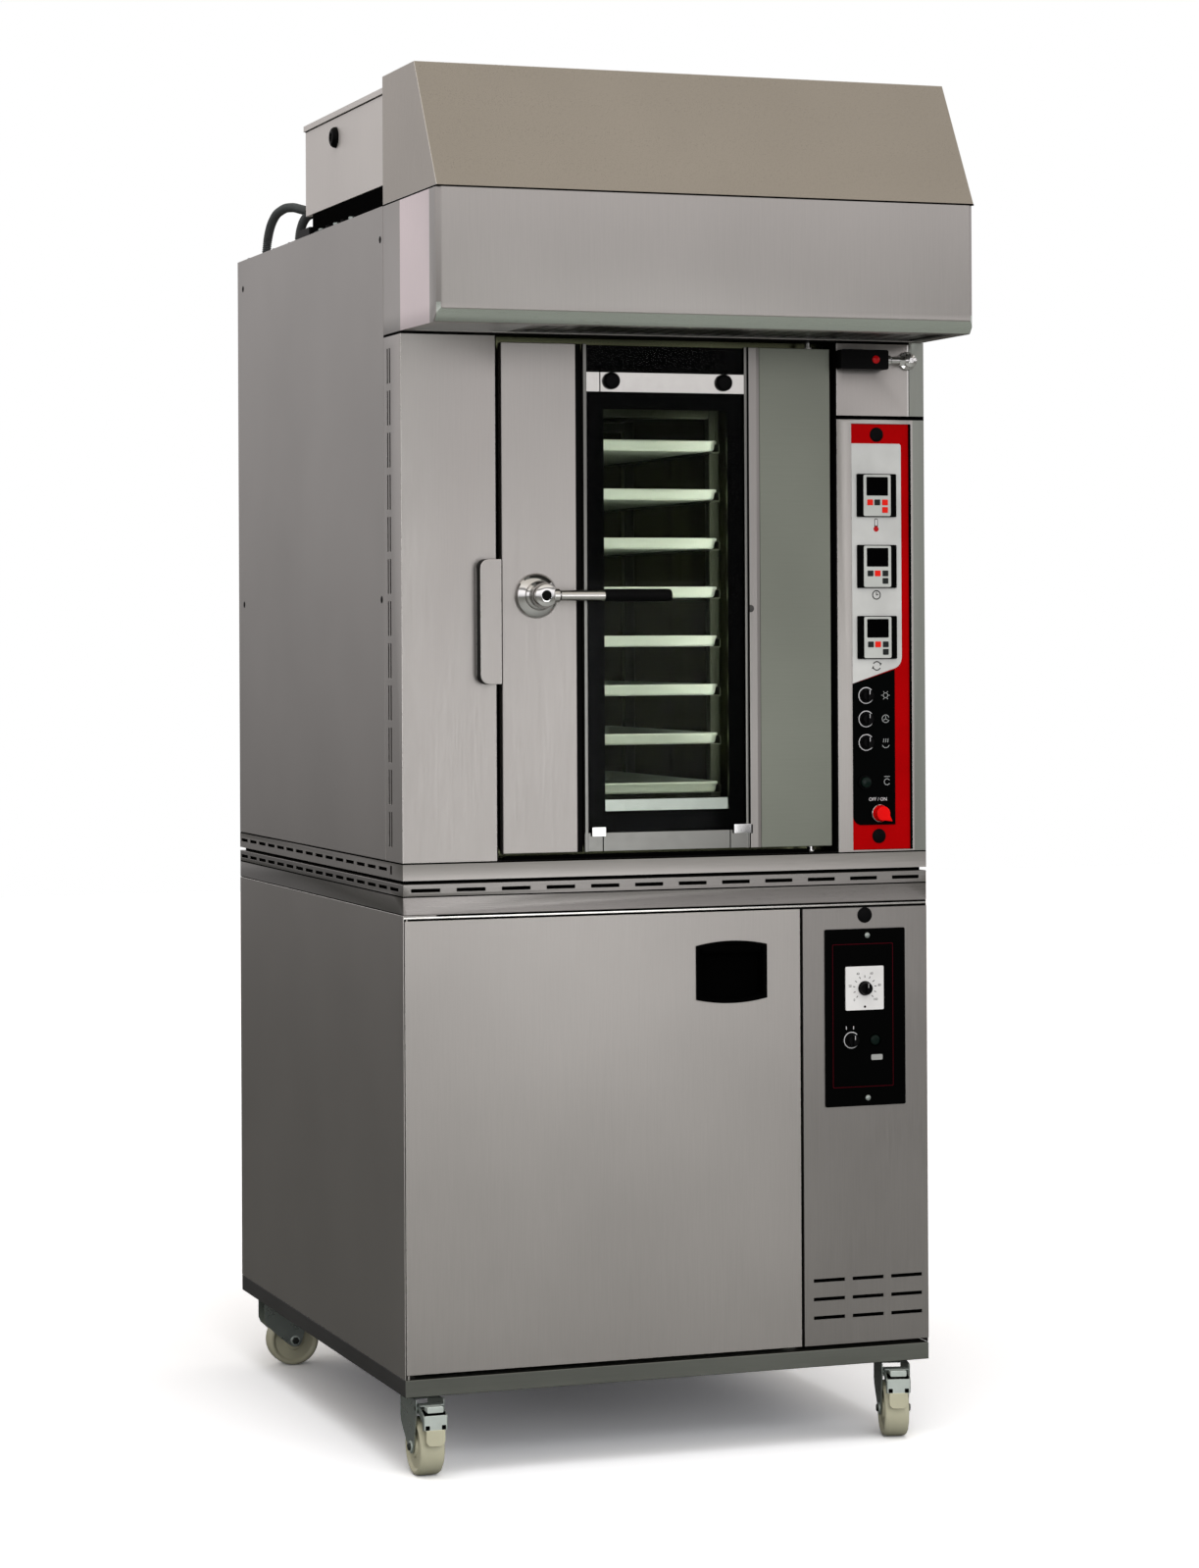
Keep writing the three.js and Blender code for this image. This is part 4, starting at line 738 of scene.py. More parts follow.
def new_tree(name, *entries):
    """A geometry node group with its sockets, and the node that they come in by."""
    tree = bpy.data.node_groups.new(name, "GeometryNodeTree")
    for label, kind in (("Geometry", "Geometry"), *entries, ("Finish", "Material")):
        tree.interface.new_socket(label, in_out="INPUT", socket_type="NodeSocket" + kind)
    tree.interface.new_socket("Geometry", in_out="OUTPUT", socket_type="NodeSocketGeometry")
    return tree, tree.nodes.new("NodeGroupInput")


def end_tree(tree, entry, source, output):
    """Makes the group's copies real, gives them the finish and lets them out."""
    real = tree.nodes.new("GeometryNodeRealizeInstances")
    painted = tree.nodes.new("GeometryNodeSetMaterial")
    wire(
        tree.links, (source, output, real, "Geometry"), (real, "Geometry", painted, "Geometry"),
        (entry, "Finish", painted, "Material"),
        (painted, "Geometry", tree.nodes.new("NodeGroupOutput"), "Geometry"),
    )
    return tree


def grow(carrier, tree, **values):
    """Puts a node group on an object, with values for its inputs."""
    modifier = carrier.modifiers.new(tree.name, "NODES")
    modifier.node_group = tree
    for item in tree.interface.items_tree:
        if item.in_out == "INPUT" and item.name in values:
            modifier[item.identifier] = values[item.name]


def scatter_tree():
    """Geometry nodes: a head on every point of the mesh, made real and given a finish."""
    name = "heads_on_points"
    if name in bpy.data.node_groups:
        return bpy.data.node_groups[name]
    tree, entry = new_tree(name, ("Head", "Object"), ("Turn", "Vector"))
    head = tree.nodes.new("GeometryNodeObjectInfo")
    place = tree.nodes.new("GeometryNodeInstanceOnPoints")
    wire(
        tree.links, (entry, "Head", head, "Object"), (entry, "Geometry", place, "Points"),
        (head, "Geometry", place, "Instance"), (entry, "Turn", place, "Rotation"),
    )
    return end_tree(tree, entry, place, "Instances")


TO_LEFT = (0, -math.pi / 2, 0)
TO_RIGHT = (0, math.pi / 2, 0)
TO_FRONT = (math.pi / 2, 0, 0)
TO_BACK = (-math.pi / 2, 0, 0)
UPWARDS = (0, 0, 0)
DOWNWARDS = (math.pi, 0, 0)


def scatter(name, points, head, material, turn=UPWARDS, body=CABINET):
    """Copies of a head mesh on points in millimetres, as one piece on a body."""
    template = linked(name + "_head", head)
    dots = bpy.data.meshes.new(name)
    dots.from_pydata([Vector(p) * MM for p in points], [], [])
    carrier = linked(name, dots)
    grow(carrier, scatter_tree(), Head=template, Finish=finish(material), Turn=turn)
    settle(carrier)
    mesh = carrier.data
    bpy.data.objects.remove(carrier)
    bpy.data.objects.remove(template)
    return dress(name, mesh, [finish(material)], body)


def head_mesh(profile, steps=20):
    """A fastener's head: a profile of (radius, height) in millimetres, standing along Z."""
    return Form().turned(profile, "z", (0, 0, 0), "zinc", steps).plain("head")


def pan_head(r):
    return head_mesh([(0, -0.6), (r, -0.6), (r, 0.5), (0.85 * r, 1.4), (0.5 * r, 2.0), (0.3 * r, 2.1),
                      (0.24 * r, 1.1), (0, 1.1)])


def hexagon(radius, height):
    low, top = -0.5, height - 0.6
    return head_mesh([(0, low), (radius, low), (radius, top), (0.86 * radius, height), (0, height)], 6)


# ---------------------------------------------------------------- base and casters

CASTERS = {
    "front_left": (0.0, True),
    "front_right": (-math.pi / 12, True),
    "rear_left": (math.pi / 2, False),
    "rear_right": (-math.pi / 2, False),
}
WHEEL_TRAIL = 38
AXLE_Z = 50
CHEEK = 23.2
FORK_TOP = 134
PEDAL_PIN = (-64, 120)
BOLT_REACH = 31


def caster_piece(form, name, body, stands_for, pivot, angle, slot="zinc"):
    """A form drawn about the swivel's axis, set in its place under the tray."""
    mesh = form.plain(name)
    mesh.transform(Matrix.Translation(Vector(pivot) * MM) @ Matrix.Rotation(angle, 4, "Z"))
    return dress(name, mesh, [finish(m) for m in form.materials], body, stands_for)


def wheel_form():
    form = Form()
    centre = (0, -WHEEL_TRAIL, AXLE_Z)
    flank = [
        (7.4, 22), (16, 22), (18, 21.3), (20, 18.4), (33, 17), (38, 17.4), (41, 20), (42.5, 21.6), (45, 21.8),
        (47.8, 20.2), (49.4, 17), (50, 12.5),
    ]
    profile = [(radius, -half) for radius, half in flank] + flank[::-1]
    form.turned(profile + profile[:1], "x", centre, "nylon", 64)
    return form


def fork_form():
    """Pressed cheeks, crown, swivel race, axle with nuts and the top plate's ball race."""
    form = Form()
    cheek = [
        (24, FORK_TOP), (24, 93), (20, 83), (3, 67), (-19, 48), (-29, 40.5), (-35, 38), (-41, 38),
        (-47, 40.5),
        (-51, 46), (-56, 62), (-65, 96), (-70, 112), (-70, FORK_TOP),
    ]
    outer = CHEEK + 2.5
    for side in (-1, 1):
        low, high = sorted((side * CHEEK, side * outer))
        outwards = "x" if side > 0 else "-x"
        form.prism(cheek, "x", low, high, "zinc", 0.7)
        # The axle washers are bright zinc, partly painted light.
        form.turned([(0, 0), (9.5, 0), (9.5, 1.2), (8.8, 1.6), (0, 1.6)], outwards,
                    (side * outer, -WHEEL_TRAIL, AXLE_Z), "zinc_bright", 28)
        # The axle nuts are dark zinc, partly painted shade.
        form.turned([(0, 0), (7.2, 0), (7.2, 3.0), (6.2, 3.6), (3.4, 3.6), (3.2, 2.4), (0, 2.4)], outwards,
                    (side * (outer + 1.4), -WHEEL_TRAIL, AXLE_Z), "zinc_dark", 6)
    # The crown and the swivel race under the tray are dark zinc, painted shade.
    form.box(-outer, outer, -46, 24, FORK_TOP - 2.5, FORK_TOP, "zinc_dark", 0.8)
    axle_end = (-CHEEK, -WHEEL_TRAIL, AXLE_Z)
    form.turned([(0, 0), (6, 0), (6, 2 * CHEEK), (0, 2 * CHEEK)], "x", axle_end, "zinc", 20)
    form.turned([
        (0, 0), (22, 0), (27, 1), (29.5, 3), (30, 6), (29, 8.5), (26, 9.4), (26, 10.6), (28, 11.4),
        (28, 13.4),
        (24, 14.8), (0, 14.8),
    ], "z", (0, 0, FORK_TOP - 0.2), "zinc_dark", 48)
    form.turned([(0, 0), (4, 0), (4, 2 * outer), (0, 2 * outer)], "x", (-outer, *PEDAL_PIN), "zinc", 16)
    return form


def pedal_form():
    """Zinc lever with a bright pad, partly painted light, over a black block of painted shadow, a notched
    bright plate and a cream tongue on the wheel.
    """
    form = Form()
    half = 21.6
    arm = [
        (-57, 124), (-60, 127.4), (-66, 128), (-99, 114), (-101.4, 110), (-101.4, 88), (-97, 88), (-94, 101),
        (-72, 112), (-60, 112),
    ]
    for low, high in ((-half, -half + 2.4), (half - 2.4, half)):
        form.prism(arm, "x", low, high, "zinc", 0.5)
    bracket = [(-58, 124), (-62, 128), (-84, 127.6), (-84, 125.4), (-64, 122)]
    form.prism(bracket, "x", -half, half, "zinc", 0.5)
    form.prism(rounded(-14.6, 14.6, 117.2, 127.8, 2.5), "y", -101.4, -82, "zinc_bright", 0.9)
    # A black block between the arms is painted shadow under the pad.
    form.box(-half + 2.6, half - 2.6, -96, -70, 112.6, 117.6, "black_shadow")
    form.prism(rounded(-20, 20, 87.6, 113, 3), "y", -103, -100.6, "zinc_bright", 0.7)
    for x in (-14.5, 14.5):
        form.prism(rounded(x - 3.8, x + 3.8, 88.8, 96.4, 1.4), "y", -103.3, -102.9, "black_shadow")
    form.prism(rounded(-17, 17, 60.6, 88.4, (10, 10, 2, 2)), "y", -104.4, -100.4, "nylon", 1.2)
    return form


class RACKOVEN_OT_base(bpy.types.Operator):
    """Folded base tray on four casters"""

    bl_idname = "rack_oven.base"
    bl_label = "Base and casters"

    def execute(self, context):
        # The base tray is a darker steel and its left side darker still, both painted shade.
        banded(softened("base_tray", "steel_tray"), 0, -SIDE - 1, 1 - SIDE, "steel_dark")
        for name, (angle, braked) in CASTERS.items():
            swivel = "swivel_" + name
            pivot = joint_place(swivel + "_turn")
            pivot.z = 0
            place = (pivot, angle)
            caster_piece(fork_form(), "fork_" + name, swivel, "caster_fork_" + name, *place)
            wheel = "wheel_" + name
            caster_piece(wheel_form(), "nylon_" + wheel, wheel, "caster_" + wheel, *place, "nylon")
            if braked:
                pedal = "pedal_" + name
                caster_piece(pedal_form(), pedal, pedal, "brake_" + pedal, *place)
            bolts = [
                (pivot.x + dx, pivot.y + dy, BASE[4] + 9)
                for dx in (-BOLT_REACH, BOLT_REACH) for dy in (-BOLT_REACH, BOLT_REACH)
            ]
            scatter("mount_bolts_" + name, bolts, hexagon(5.5, 3.6), "zinc", DOWNWARDS)
        return {"FINISHED"}


# ---------------------------------------------------------------- proving cabinet


class RACKOVEN_OT_prover(bpy.types.Operator):
    """Proving cabinet: panels, band with slots, tray runners and humidifier"""

    bl_idname = "rack_oven.prover"
    bl_label = "Proving cabinet"

    def execute(self, context):
        softened("prover_left_side", "steel_upright", folds="steel_edge")
        softened("prover_right_side", "steel_upright")
        softened("prover_back", "steel_upright")
        # The prover's front panel is a darker steel, painted shade.
        softened("prover_front_panel", "steel_shaded", folds="black_rubber")
        # The band is drawn in a darker steel, painted shade.
        band = softened("prover_top", "steel_band", width=0.0012)
        slot_bottom = PLINTH[4] - 28
        banded(band, 2, slot_bottom - 0.8, slot_bottom + 1.6, "black_shadow",
               lambda at: at.y < FRONT + 2 or at.x < 0)
        banded(band, 2, TOP[4] - 1, TOP[4] + 1.6, "black_shadow", lambda at: at.x < 1 - SIDE)
        paint("steel_upright", "prover_partition")
        paint("steel_depth", "prover_tray_rack")
        paint("steel_level", "prover_humidifier")
        self.painted_shade_linings()
        self.vent_backing()
        return {"FINISHED"}

    def painted_shade_linings(self):
        """Painted shade: black sheets behind the band's slots and in the shadow gap above and below it, and
        the door's top joint with a painted highlight.
        """
        slot_top = PLINTH[4] - 6
        form = Form()
        for inset, width, low, high in (
            (3.2, 1.8, slot_top - 18, slot_top - 4), (9, 2, slot_top + 0.2, PLINTH[4] - 0.4),
        ):
            outer, inner = (
                rounded(step - SIDE, SIDE - step, FRONT + step, BACK - step, 1)
                for step in (inset, inset + width)
            )
            form.frame_plate(outer, inner, "z", low, high, "black_shadow")
        form.piece("band_lining")
        # The prover door's top edge: a black joint line and a bright strip of painted highlight.
        lip = TOP[4]
        left, right = 0.6 - SIDE, SIDE - 0.6
        form = Form()
        form.box(left, right, FRONT + 1.2, FRONT + 3, lip - 9.6, lip - 0.4, "black_shadow", 0.3)
        form.box(left, right, FRONT + 0.4, FRONT + 1.4, lip - 6.4, lip - 3.2, "steel_bright", 0.3)
        form.box(left, 60 - SIDE, FRONT + 0.3, FRONT + 1.3, lip - 3.4, lip - 0.4, "steel_band", 0.2)
        form.piece("top_door_seal")

    def vent_backing(self):
        """A black sheet as painted shade for the dark inside of the technical compartment behind the louvres,
        and the panel's seal.
        """
        x0, x1, _, _, z0, z1 = PANEL
        back = Form().box(x0 + 5, x1 - 5, FRONT + 7, FRONT + 8.5, z0 + 30, z0 + 150, "black_shadow")
        back.piece("vent_backing")
        seal = Form().box(x0 - 2.6, x0 - 0.8, FRONT + 3, FRONT + 34, z0, z1, "black_rubber", 0.3)
        seal.piece("panel_seal")


class RACKOVEN_OT_prover_door(bpy.types.Operator):
    """Proving cabinet's door with its recessed pull and seal"""

    bl_idname = "rack_oven.prover_door"
    bl_label = "Proving door"

    def execute(self, context):
        body = "prover_door"
        softened("prover_door", "steel_upright", body, folds="steel_edge")
        x0, x1, _, _, z0, z1 = extent("prover_door_pull")
        width, height = x1 - x0, z1 - z0
        centre_x, centre_z = (x0 + x1) / 2, (z0 + z1) / 2

        def barrel(half_width, half_height, bulge, steps=14):
            """An outline with straight sides and bulging ends."""
            points = []
            for sign in (-1, 1):
                for i in range(steps + 1):
                    t = -1 + 2 * i / steps
                    u = centre_x + sign * -t * half_width
                    points.append((u, centre_z + sign * (half_height + bulge * (1 - t * t))))
            return points[::-1]

        rim = Form()
        outer = barrel(width / 2, height / 2 - 8, 7.5)
        lip = barrel(width / 2 - 5, height / 2 - 12.5, 7.5)
        rim.frame_plate(outer, lip, "y", FRONT - 2.2, FRONT - 0.4, "black_shadow")
        throat = barrel(width / 2 - 7, height / 2 - 14, 7)
        rim.frame_plate(lip, throat, "y", FRONT - 2.0, FRONT + 25.5, "black_shadow")
        rim.prism(lip, "y", FRONT + 25.5, FRONT + 27.5, "black_shadow")
        grip_z = centre_z + height / 2 - 20
        rim.prism([
            (FRONT - 1.5, grip_z + 12), (FRONT - 1.5, grip_z + 2), (FRONT + 3, grip_z - 3),
            (FRONT + 6, grip_z + 2), (FRONT + 6, grip_z + 12),
        ], "x", x0 + 12, x1 - 12, "black_shadow", 0.8)
        rim.piece("recessed_pull", body, "prover_door_pull", "black_plastic")
        left, right, _, back, _, _ = PROVER_DOOR
        low, high = BASE[5] + 8, TOP[4] - 10
        outer = rounded(left + 8, right - 8, low + 8, high - 8, 14)
        inner = rounded(left + 20, right - 20, low + 20, high - 20, 8)
        seal = Form().frame_plate(outer, inner, "y", back, back + 4.2, "black_rubber")
        seal.piece("prover_door_seal", body)
        return {"FINISHED"}


class RACKOVEN_OT_prover_controls(bpy.types.Operator):
    """Thermostat, switch, lamp and label on the proving cabinet's black plate"""

    bl_idname = "rack_oven.prover_controls"
    bl_label = "Proving controls"

    def execute(self, context):
        x0, x1, dial_front, _, z0, z1 = CONTROL_PLATE
        plate_front = dial_front + 3
        knob = joint_place("thermostat_turn")
        form = Form()
        form.prism(rounded(x0, x1, z0, z1, 3), "y", plate_front, FRONT - 0.4, "black_plate", 0.6)
        dial = rounded(knob.x - 37, knob.x + 37, knob.z - 39, knob.z + 39, 2.5)
        form.prism(dial, "y", dial_front, plate_front + 0.2, "dial_white", 0.7)
        form.piece("prover_plate", CABINET, "prover_control_plate", "black_plastic")
        outer, inner = (
            rounded(x0 + 14 + step, x1 - 24 - step, z0 + 34 + step, z1 - 27 - step, 2) for step in (0, 0.6)
        )
        line = Form().frame_plate(outer, inner, "y", plate_front - 0.15, plate_front + 0.05, "print_red")
        line.piece("plate_outline")
        self.dial_print(knob, dial_front)
        round_knob("thermostat_grip", "thermostat_knob", "thermostat_knob", knob, dial_front)
        switch = joint_place("prover_switch_turn")
        ring_knob("prover_switch_grip", "prover_switch", switch, plate_front)
        lamp = Form().turned(
            [(0, 2.6), (6.5, 2.2), (8.6, 0.6), (9, 0), (11, 0), (11, -0.4), (0, -0.4)], "-y",
            (switch.x + 46, plate_front, switch.z - 1.5), "lamp_green", 36,
        )
        lamp.piece("prover_lamp")
        marks = Form()
        for dx in (-10, 4):
            marks.box(switch.x + dx - 0.6, switch.x + dx + 0.6, plate_front - 0.2, plate_front + 0.05,
                      switch.z + 19, switch.z + 25, "print_white")
        marks.prism(rounded(switch.x + 38, switch.x + 60, switch.z - 37, switch.z - 27, 2), "y",
                    plate_front - 0.5, plate_front + 0.05, "label_grey", 0.15)
        marks.piece("prover_marks")
        screws = [((x0 + x1) / 2 + 4, plate_front, z) for z in (z0 + 14, z1 - 12)]
        scatter("prover_plate_screws", screws, pan_head(5), "zinc", TO_FRONT)
        cap("prover_cap", (x0 + 78, FRONT, z1 + 24), 14)
        return {"FINISHED"}

    def dial_print(self, knob, plane):
        """Tick marks and plain numbers round the thermostat's knob."""
        ticks = []
        form = Form()
        for i in range(11):
            angle = 225 - 27 * i
            for radius in (19.5, 20.5, 21.5, 22.5):
                u, v = around(knob.x, knob.z, radius, angle)
                ticks.append((u, plane, v))
            if i % 2 == 0:
                u, v = around(knob.x, knob.z, 29, angle)
                form.text(str(i * 10), 6.0, (u, plane, v), 0.12, "print_black")
        stop = (knob.x, plane, knob.z - 33)
        form.turned([(0, 0.15), (2.2, 0.15), (2.2, 0), (0, 0)], "-y", stop, "print_black", 16)
        form.piece("dial_numbers")
        dot = head_mesh([(0, -0.05), (0.7, -0.05), (0.7, 0.14), (0, 0.14)], 8)
        scatter("dial_ticks", ticks, dot, "print_black", TO_FRONT)


KNOB_RADIUS = 13
KNOB_HEIGHT = 17
PRINT_DEPTH = 0.15
PRINT_OVERLAP = 1.04


def icon_ring(form, x, plane, z, radius, width, material, start=0, stop=360, steps=24):
    """A flat arc of print."""
    count = max(3, int(steps * (stop - start) / 360))
    inner, outer = radius - width / 2, radius + width / 2
    for i in range(count):
        first = start + (stop - start) * i / count
        last = start + (stop - start) * (i + PRINT_OVERLAP) / count
        corners = [(inner, first), (outer, first), (outer, last), (inner, last)]
        outline = [around(x, z, reach, angle) for reach, angle in corners]
        form.prism(outline, "y", plane - PRINT_DEPTH, plane, material)


def stroke(form, x, plane, z, length, width, angle, material):
    """A straight line of print, from its middle."""
    along = Vector(around(0, 0, 1, angle)) * length / 2
    across = Vector((-along.y, along.x)).normalized() * width / 2
    centre = Vector((x, z))
    corners = [centre + a * along + b * across for a, b in ((-1, -1), (1, -1), (1, 1), (-1, 1))]
    form.prism([tuple(c) for c in corners], "y", plane - PRINT_DEPTH, plane, material)


def round_knob(name, node, body, place, plane):
    """A black control knob with a skirt, a finger bar and a white pointer line."""
    material, radius, height = "black_plastic", KNOB_RADIUS, KNOB_HEIGHT
    form = Form()
    form.turned([
        (0, 0), (radius, 0), (radius, 1.6), (radius - 1.1, 2.6), (radius - 2.4, height - 6),
        (radius - 3.6, height - 4.6), (0, height - 4.4),
    ], "-y", (place.x, plane - 0.4, place.z), material, 48)
    bar = rounded(place.x - 2.6, place.x + 2.6, place.z - radius + 3, place.z + radius - 2, 2.5)
    form.prism(bar, "y", plane - height - 0.4, plane - height + 6, material, 0.7)
    form.box(place.x - 0.5, place.x + 0.5, plane - height - 0.6, plane - height, place.z + 2,
             place.z + radius - 3.4, "print_white")
    form.piece(name, body, node)


def ring_knob(name, node, place, plane):
    """A rotary switch: the knob turns inside a pale open ring on the panel."""
    ring = Form()
    icon_ring(ring, place.x, plane, place.z, KNOB_RADIUS + 1.1, 1.5, "print_white", 42, 335, 48)
    ring.piece(name + "_ring")
    round_knob(name, node, node, place, plane)


def cap(name, centre, radius, height=3.0):
    """A round black plug in a panel."""
    form = Form().turned([
        (0, height), (radius * 0.55, height * 0.96), (radius * 0.85, height * 0.75), (radius, height * 0.3),
        (radius, 0), (0, 0),
    ], "-y", centre, "black_plastic", 40)
    form.piece(name)


SLOT_COUNT = 12
BACK_VENT_HALF = 110
BACK_VENT_HEIGHTS = (1420, 1590)
ROOF_SCREW_DEPTHS = (327, 446, 640)


# ---------------------------------------------------------------- oven casing


class RACKOVEN_OT_casing(bpy.types.Operator):
    """Oven plinth, corner sheets, side panels, back and roof"""

    bl_idname = "rack_oven.casing"
    bl_label = "Oven casing"

    def execute(self, context):
        plinth = softened("oven_plinth", "steel_plinth", width=0.0012)
        banded(plinth, 2, PLINTH[5] - 2.2, PLINTH[5] + 1, "black_shadow",
               lambda at: at.y < FRONT + 2 or at.x < 1 - SIDE)
        jamb = softened("oven_left_jamb", "steel_upright", folds="steel_edge")
        banded(jamb, 2, LOWER_HOOD[4] - 4.5, LOWER_HOOD[4] + 1, "black_shadow")
        for node in ("oven_left_side", "oven_right_side"):
            open_seam(softened(node, "steel_upright"), 1, extent(node)[2], 1.3)
        softened("oven_back", "steel_upright")
        softened("oven_roof", "steel_level")
        self.linings()
        self.screws()
        return {"FINISHED"}

    def linings(self):
        """Dark rubber in the gap round the oven door, and black sheets behind the slots as painted shade."""
        left, right = JAMB_WIDTH - SIDE, SIDE - JAMB_WIDTH
        z0, z1 = PLINTH[5] + 0.3, LOWER_HOOD[4] - 0.5
        y0, y1 = FRONT + 1, FRONT + 58
        form = Form()
        form.box(left + 0.2, left + 2.4, y0, y1, z0, z1, "black_rubber", 0.5)
        form.box(right - 2.4, right - 0.2, y0, y1, z0, z1, "black_rubber", 0.5)
        form.box(left + 2.4, right - 2.4, y0, y1, z0, z0 + 1.4, "black_rubber", 0.3)
        form.box(left + 2.4, right - 2.4, y0, y1, z1 - 1.4, z1, "black_rubber", 0.3)
        form.piece("doorway_lining")
        form = Form()
        slot_back = -SIDE + 5
        corner = LOWER_HOOD[3]
        form.box(slot_back, slot_back + 1.2, corner - 46, corner - 14, z0 + 8, z1 - 20, "black_shadow")
        for low, high in ((-SIDE + 1.9, -SIDE + 2.6), (SIDE - 2.6, SIDE - 1.9)):
            form.box(low, high, corner - 3, corner + 4, PLINTH[5] + 1, ROOF[5] - 2, "black_shadow")
        for x in (slot_back, -slot_back - 1.2):
            form.box(x, x + 1.2, FRONT + 40, BACK - 6, PLINTH[4] + 6, PLINTH[5] - 5, "black_shadow")
        form.box(-BACK_VENT_HALF, BACK_VENT_HALF, BACK - 8, BACK - 6.8, *BACK_VENT_HEIGHTS, "black_shadow")
        form.piece("slot_backing")
        pitch = (LOWER_HOOD[4] - PLINTH[5] - 38) / SLOT_COUNT
        bars = [
            (-SIDE + 0.1, corner - 30, PLINTH[5] + 19 + pitch * (i + 0.5)) for i in range(SLOT_COUNT)
        ]
        bar = Form().box(0, 2.4, -3.6, 3.6, -30.4, 30.4, "steel_upright")
        scatter("slot_bars", bars, bar.plain("slot_bar"), "steel_upright")
        x0, x1 = DOOR[0] + 36, DOOR[1] - 36
        outer = rounded(x0, x1, DOOR_BOTTOM + 36, DOOR_TOP - 36, 12)
        inner = rounded(x0 + 10, x1 - 10, DOOR_BOTTOM + 46, DOOR_TOP - 46, 8)
        gasket = Form().frame_plate(outer, inner, "y", DOOR[3] - 0.3, DOOR[3] + 4.4, "black_rubber")
        gasket.piece("door_gasket", "oven_door")

    def screws(self):
        """Casing screws on the sides, back and roof edge."""
        seam = LOWER_HOOD[3]
        rows = [ROOF[5] - 57, PLINTH[5] + 453, PLINTH[5] + 60]
        prover_rows = [BASE[5] + 40, BASE[5] + 400, TOP[4] - 40]
        left = [(-SIDE, y, z) for y in (seam + 18, BACK - 43) for z in rows[:2]]
        right = [(SIDE, y, z) for y in (seam + 18, BACK - 43) for z in rows]
        right += [(SIDE, y, z) for y in (FRONT + 30, BACK - 30) for z in prover_rows]
        rear = [(x, BACK, z) for x in (-SIDE + 22, -160, 160, SIDE - 22) for z in rows]
        rear += [(x, BACK, z) for x in (-SIDE + 22, 0, SIDE - 22) for z in prover_rows]
        radius = sizes().screw_radius / MM
        head = [
            (0, -0.6), (radius, -0.6), (radius - 0.2, 0.1), (radius - 1, 0.5), (3.4, 0.6), (2.8, 0.6),
            (2.2, 0.1), (0, 0.1),
        ]
        for name, places, material, turn in (
            ("left_screws", left, "black_plastic", TO_LEFT),
            ("right_screws", right, "black_plastic", TO_RIGHT),
            ("rear_screws", rear, "zinc", TO_BACK),
        ):
            scatter(name, places, head_mesh(head), material, turn)
        edge = [(sign * (SIDE - 16), y, ROOF[5]) for sign in (-1, 1) for y in ROOF_SCREW_DEPTHS]
        edge += [(x, BACK - 16, ROOF[5]) for x in (-240, 0, 240)]
        nut = head_mesh([(0, -0.5), (6, -0.5), (6, 2), (4.6, 5), (3, 6), (0, 6)], 6)
        scatter("roof_screws", edge, nut, "black_plastic")


# ---------------------------------------------------------------- oven door


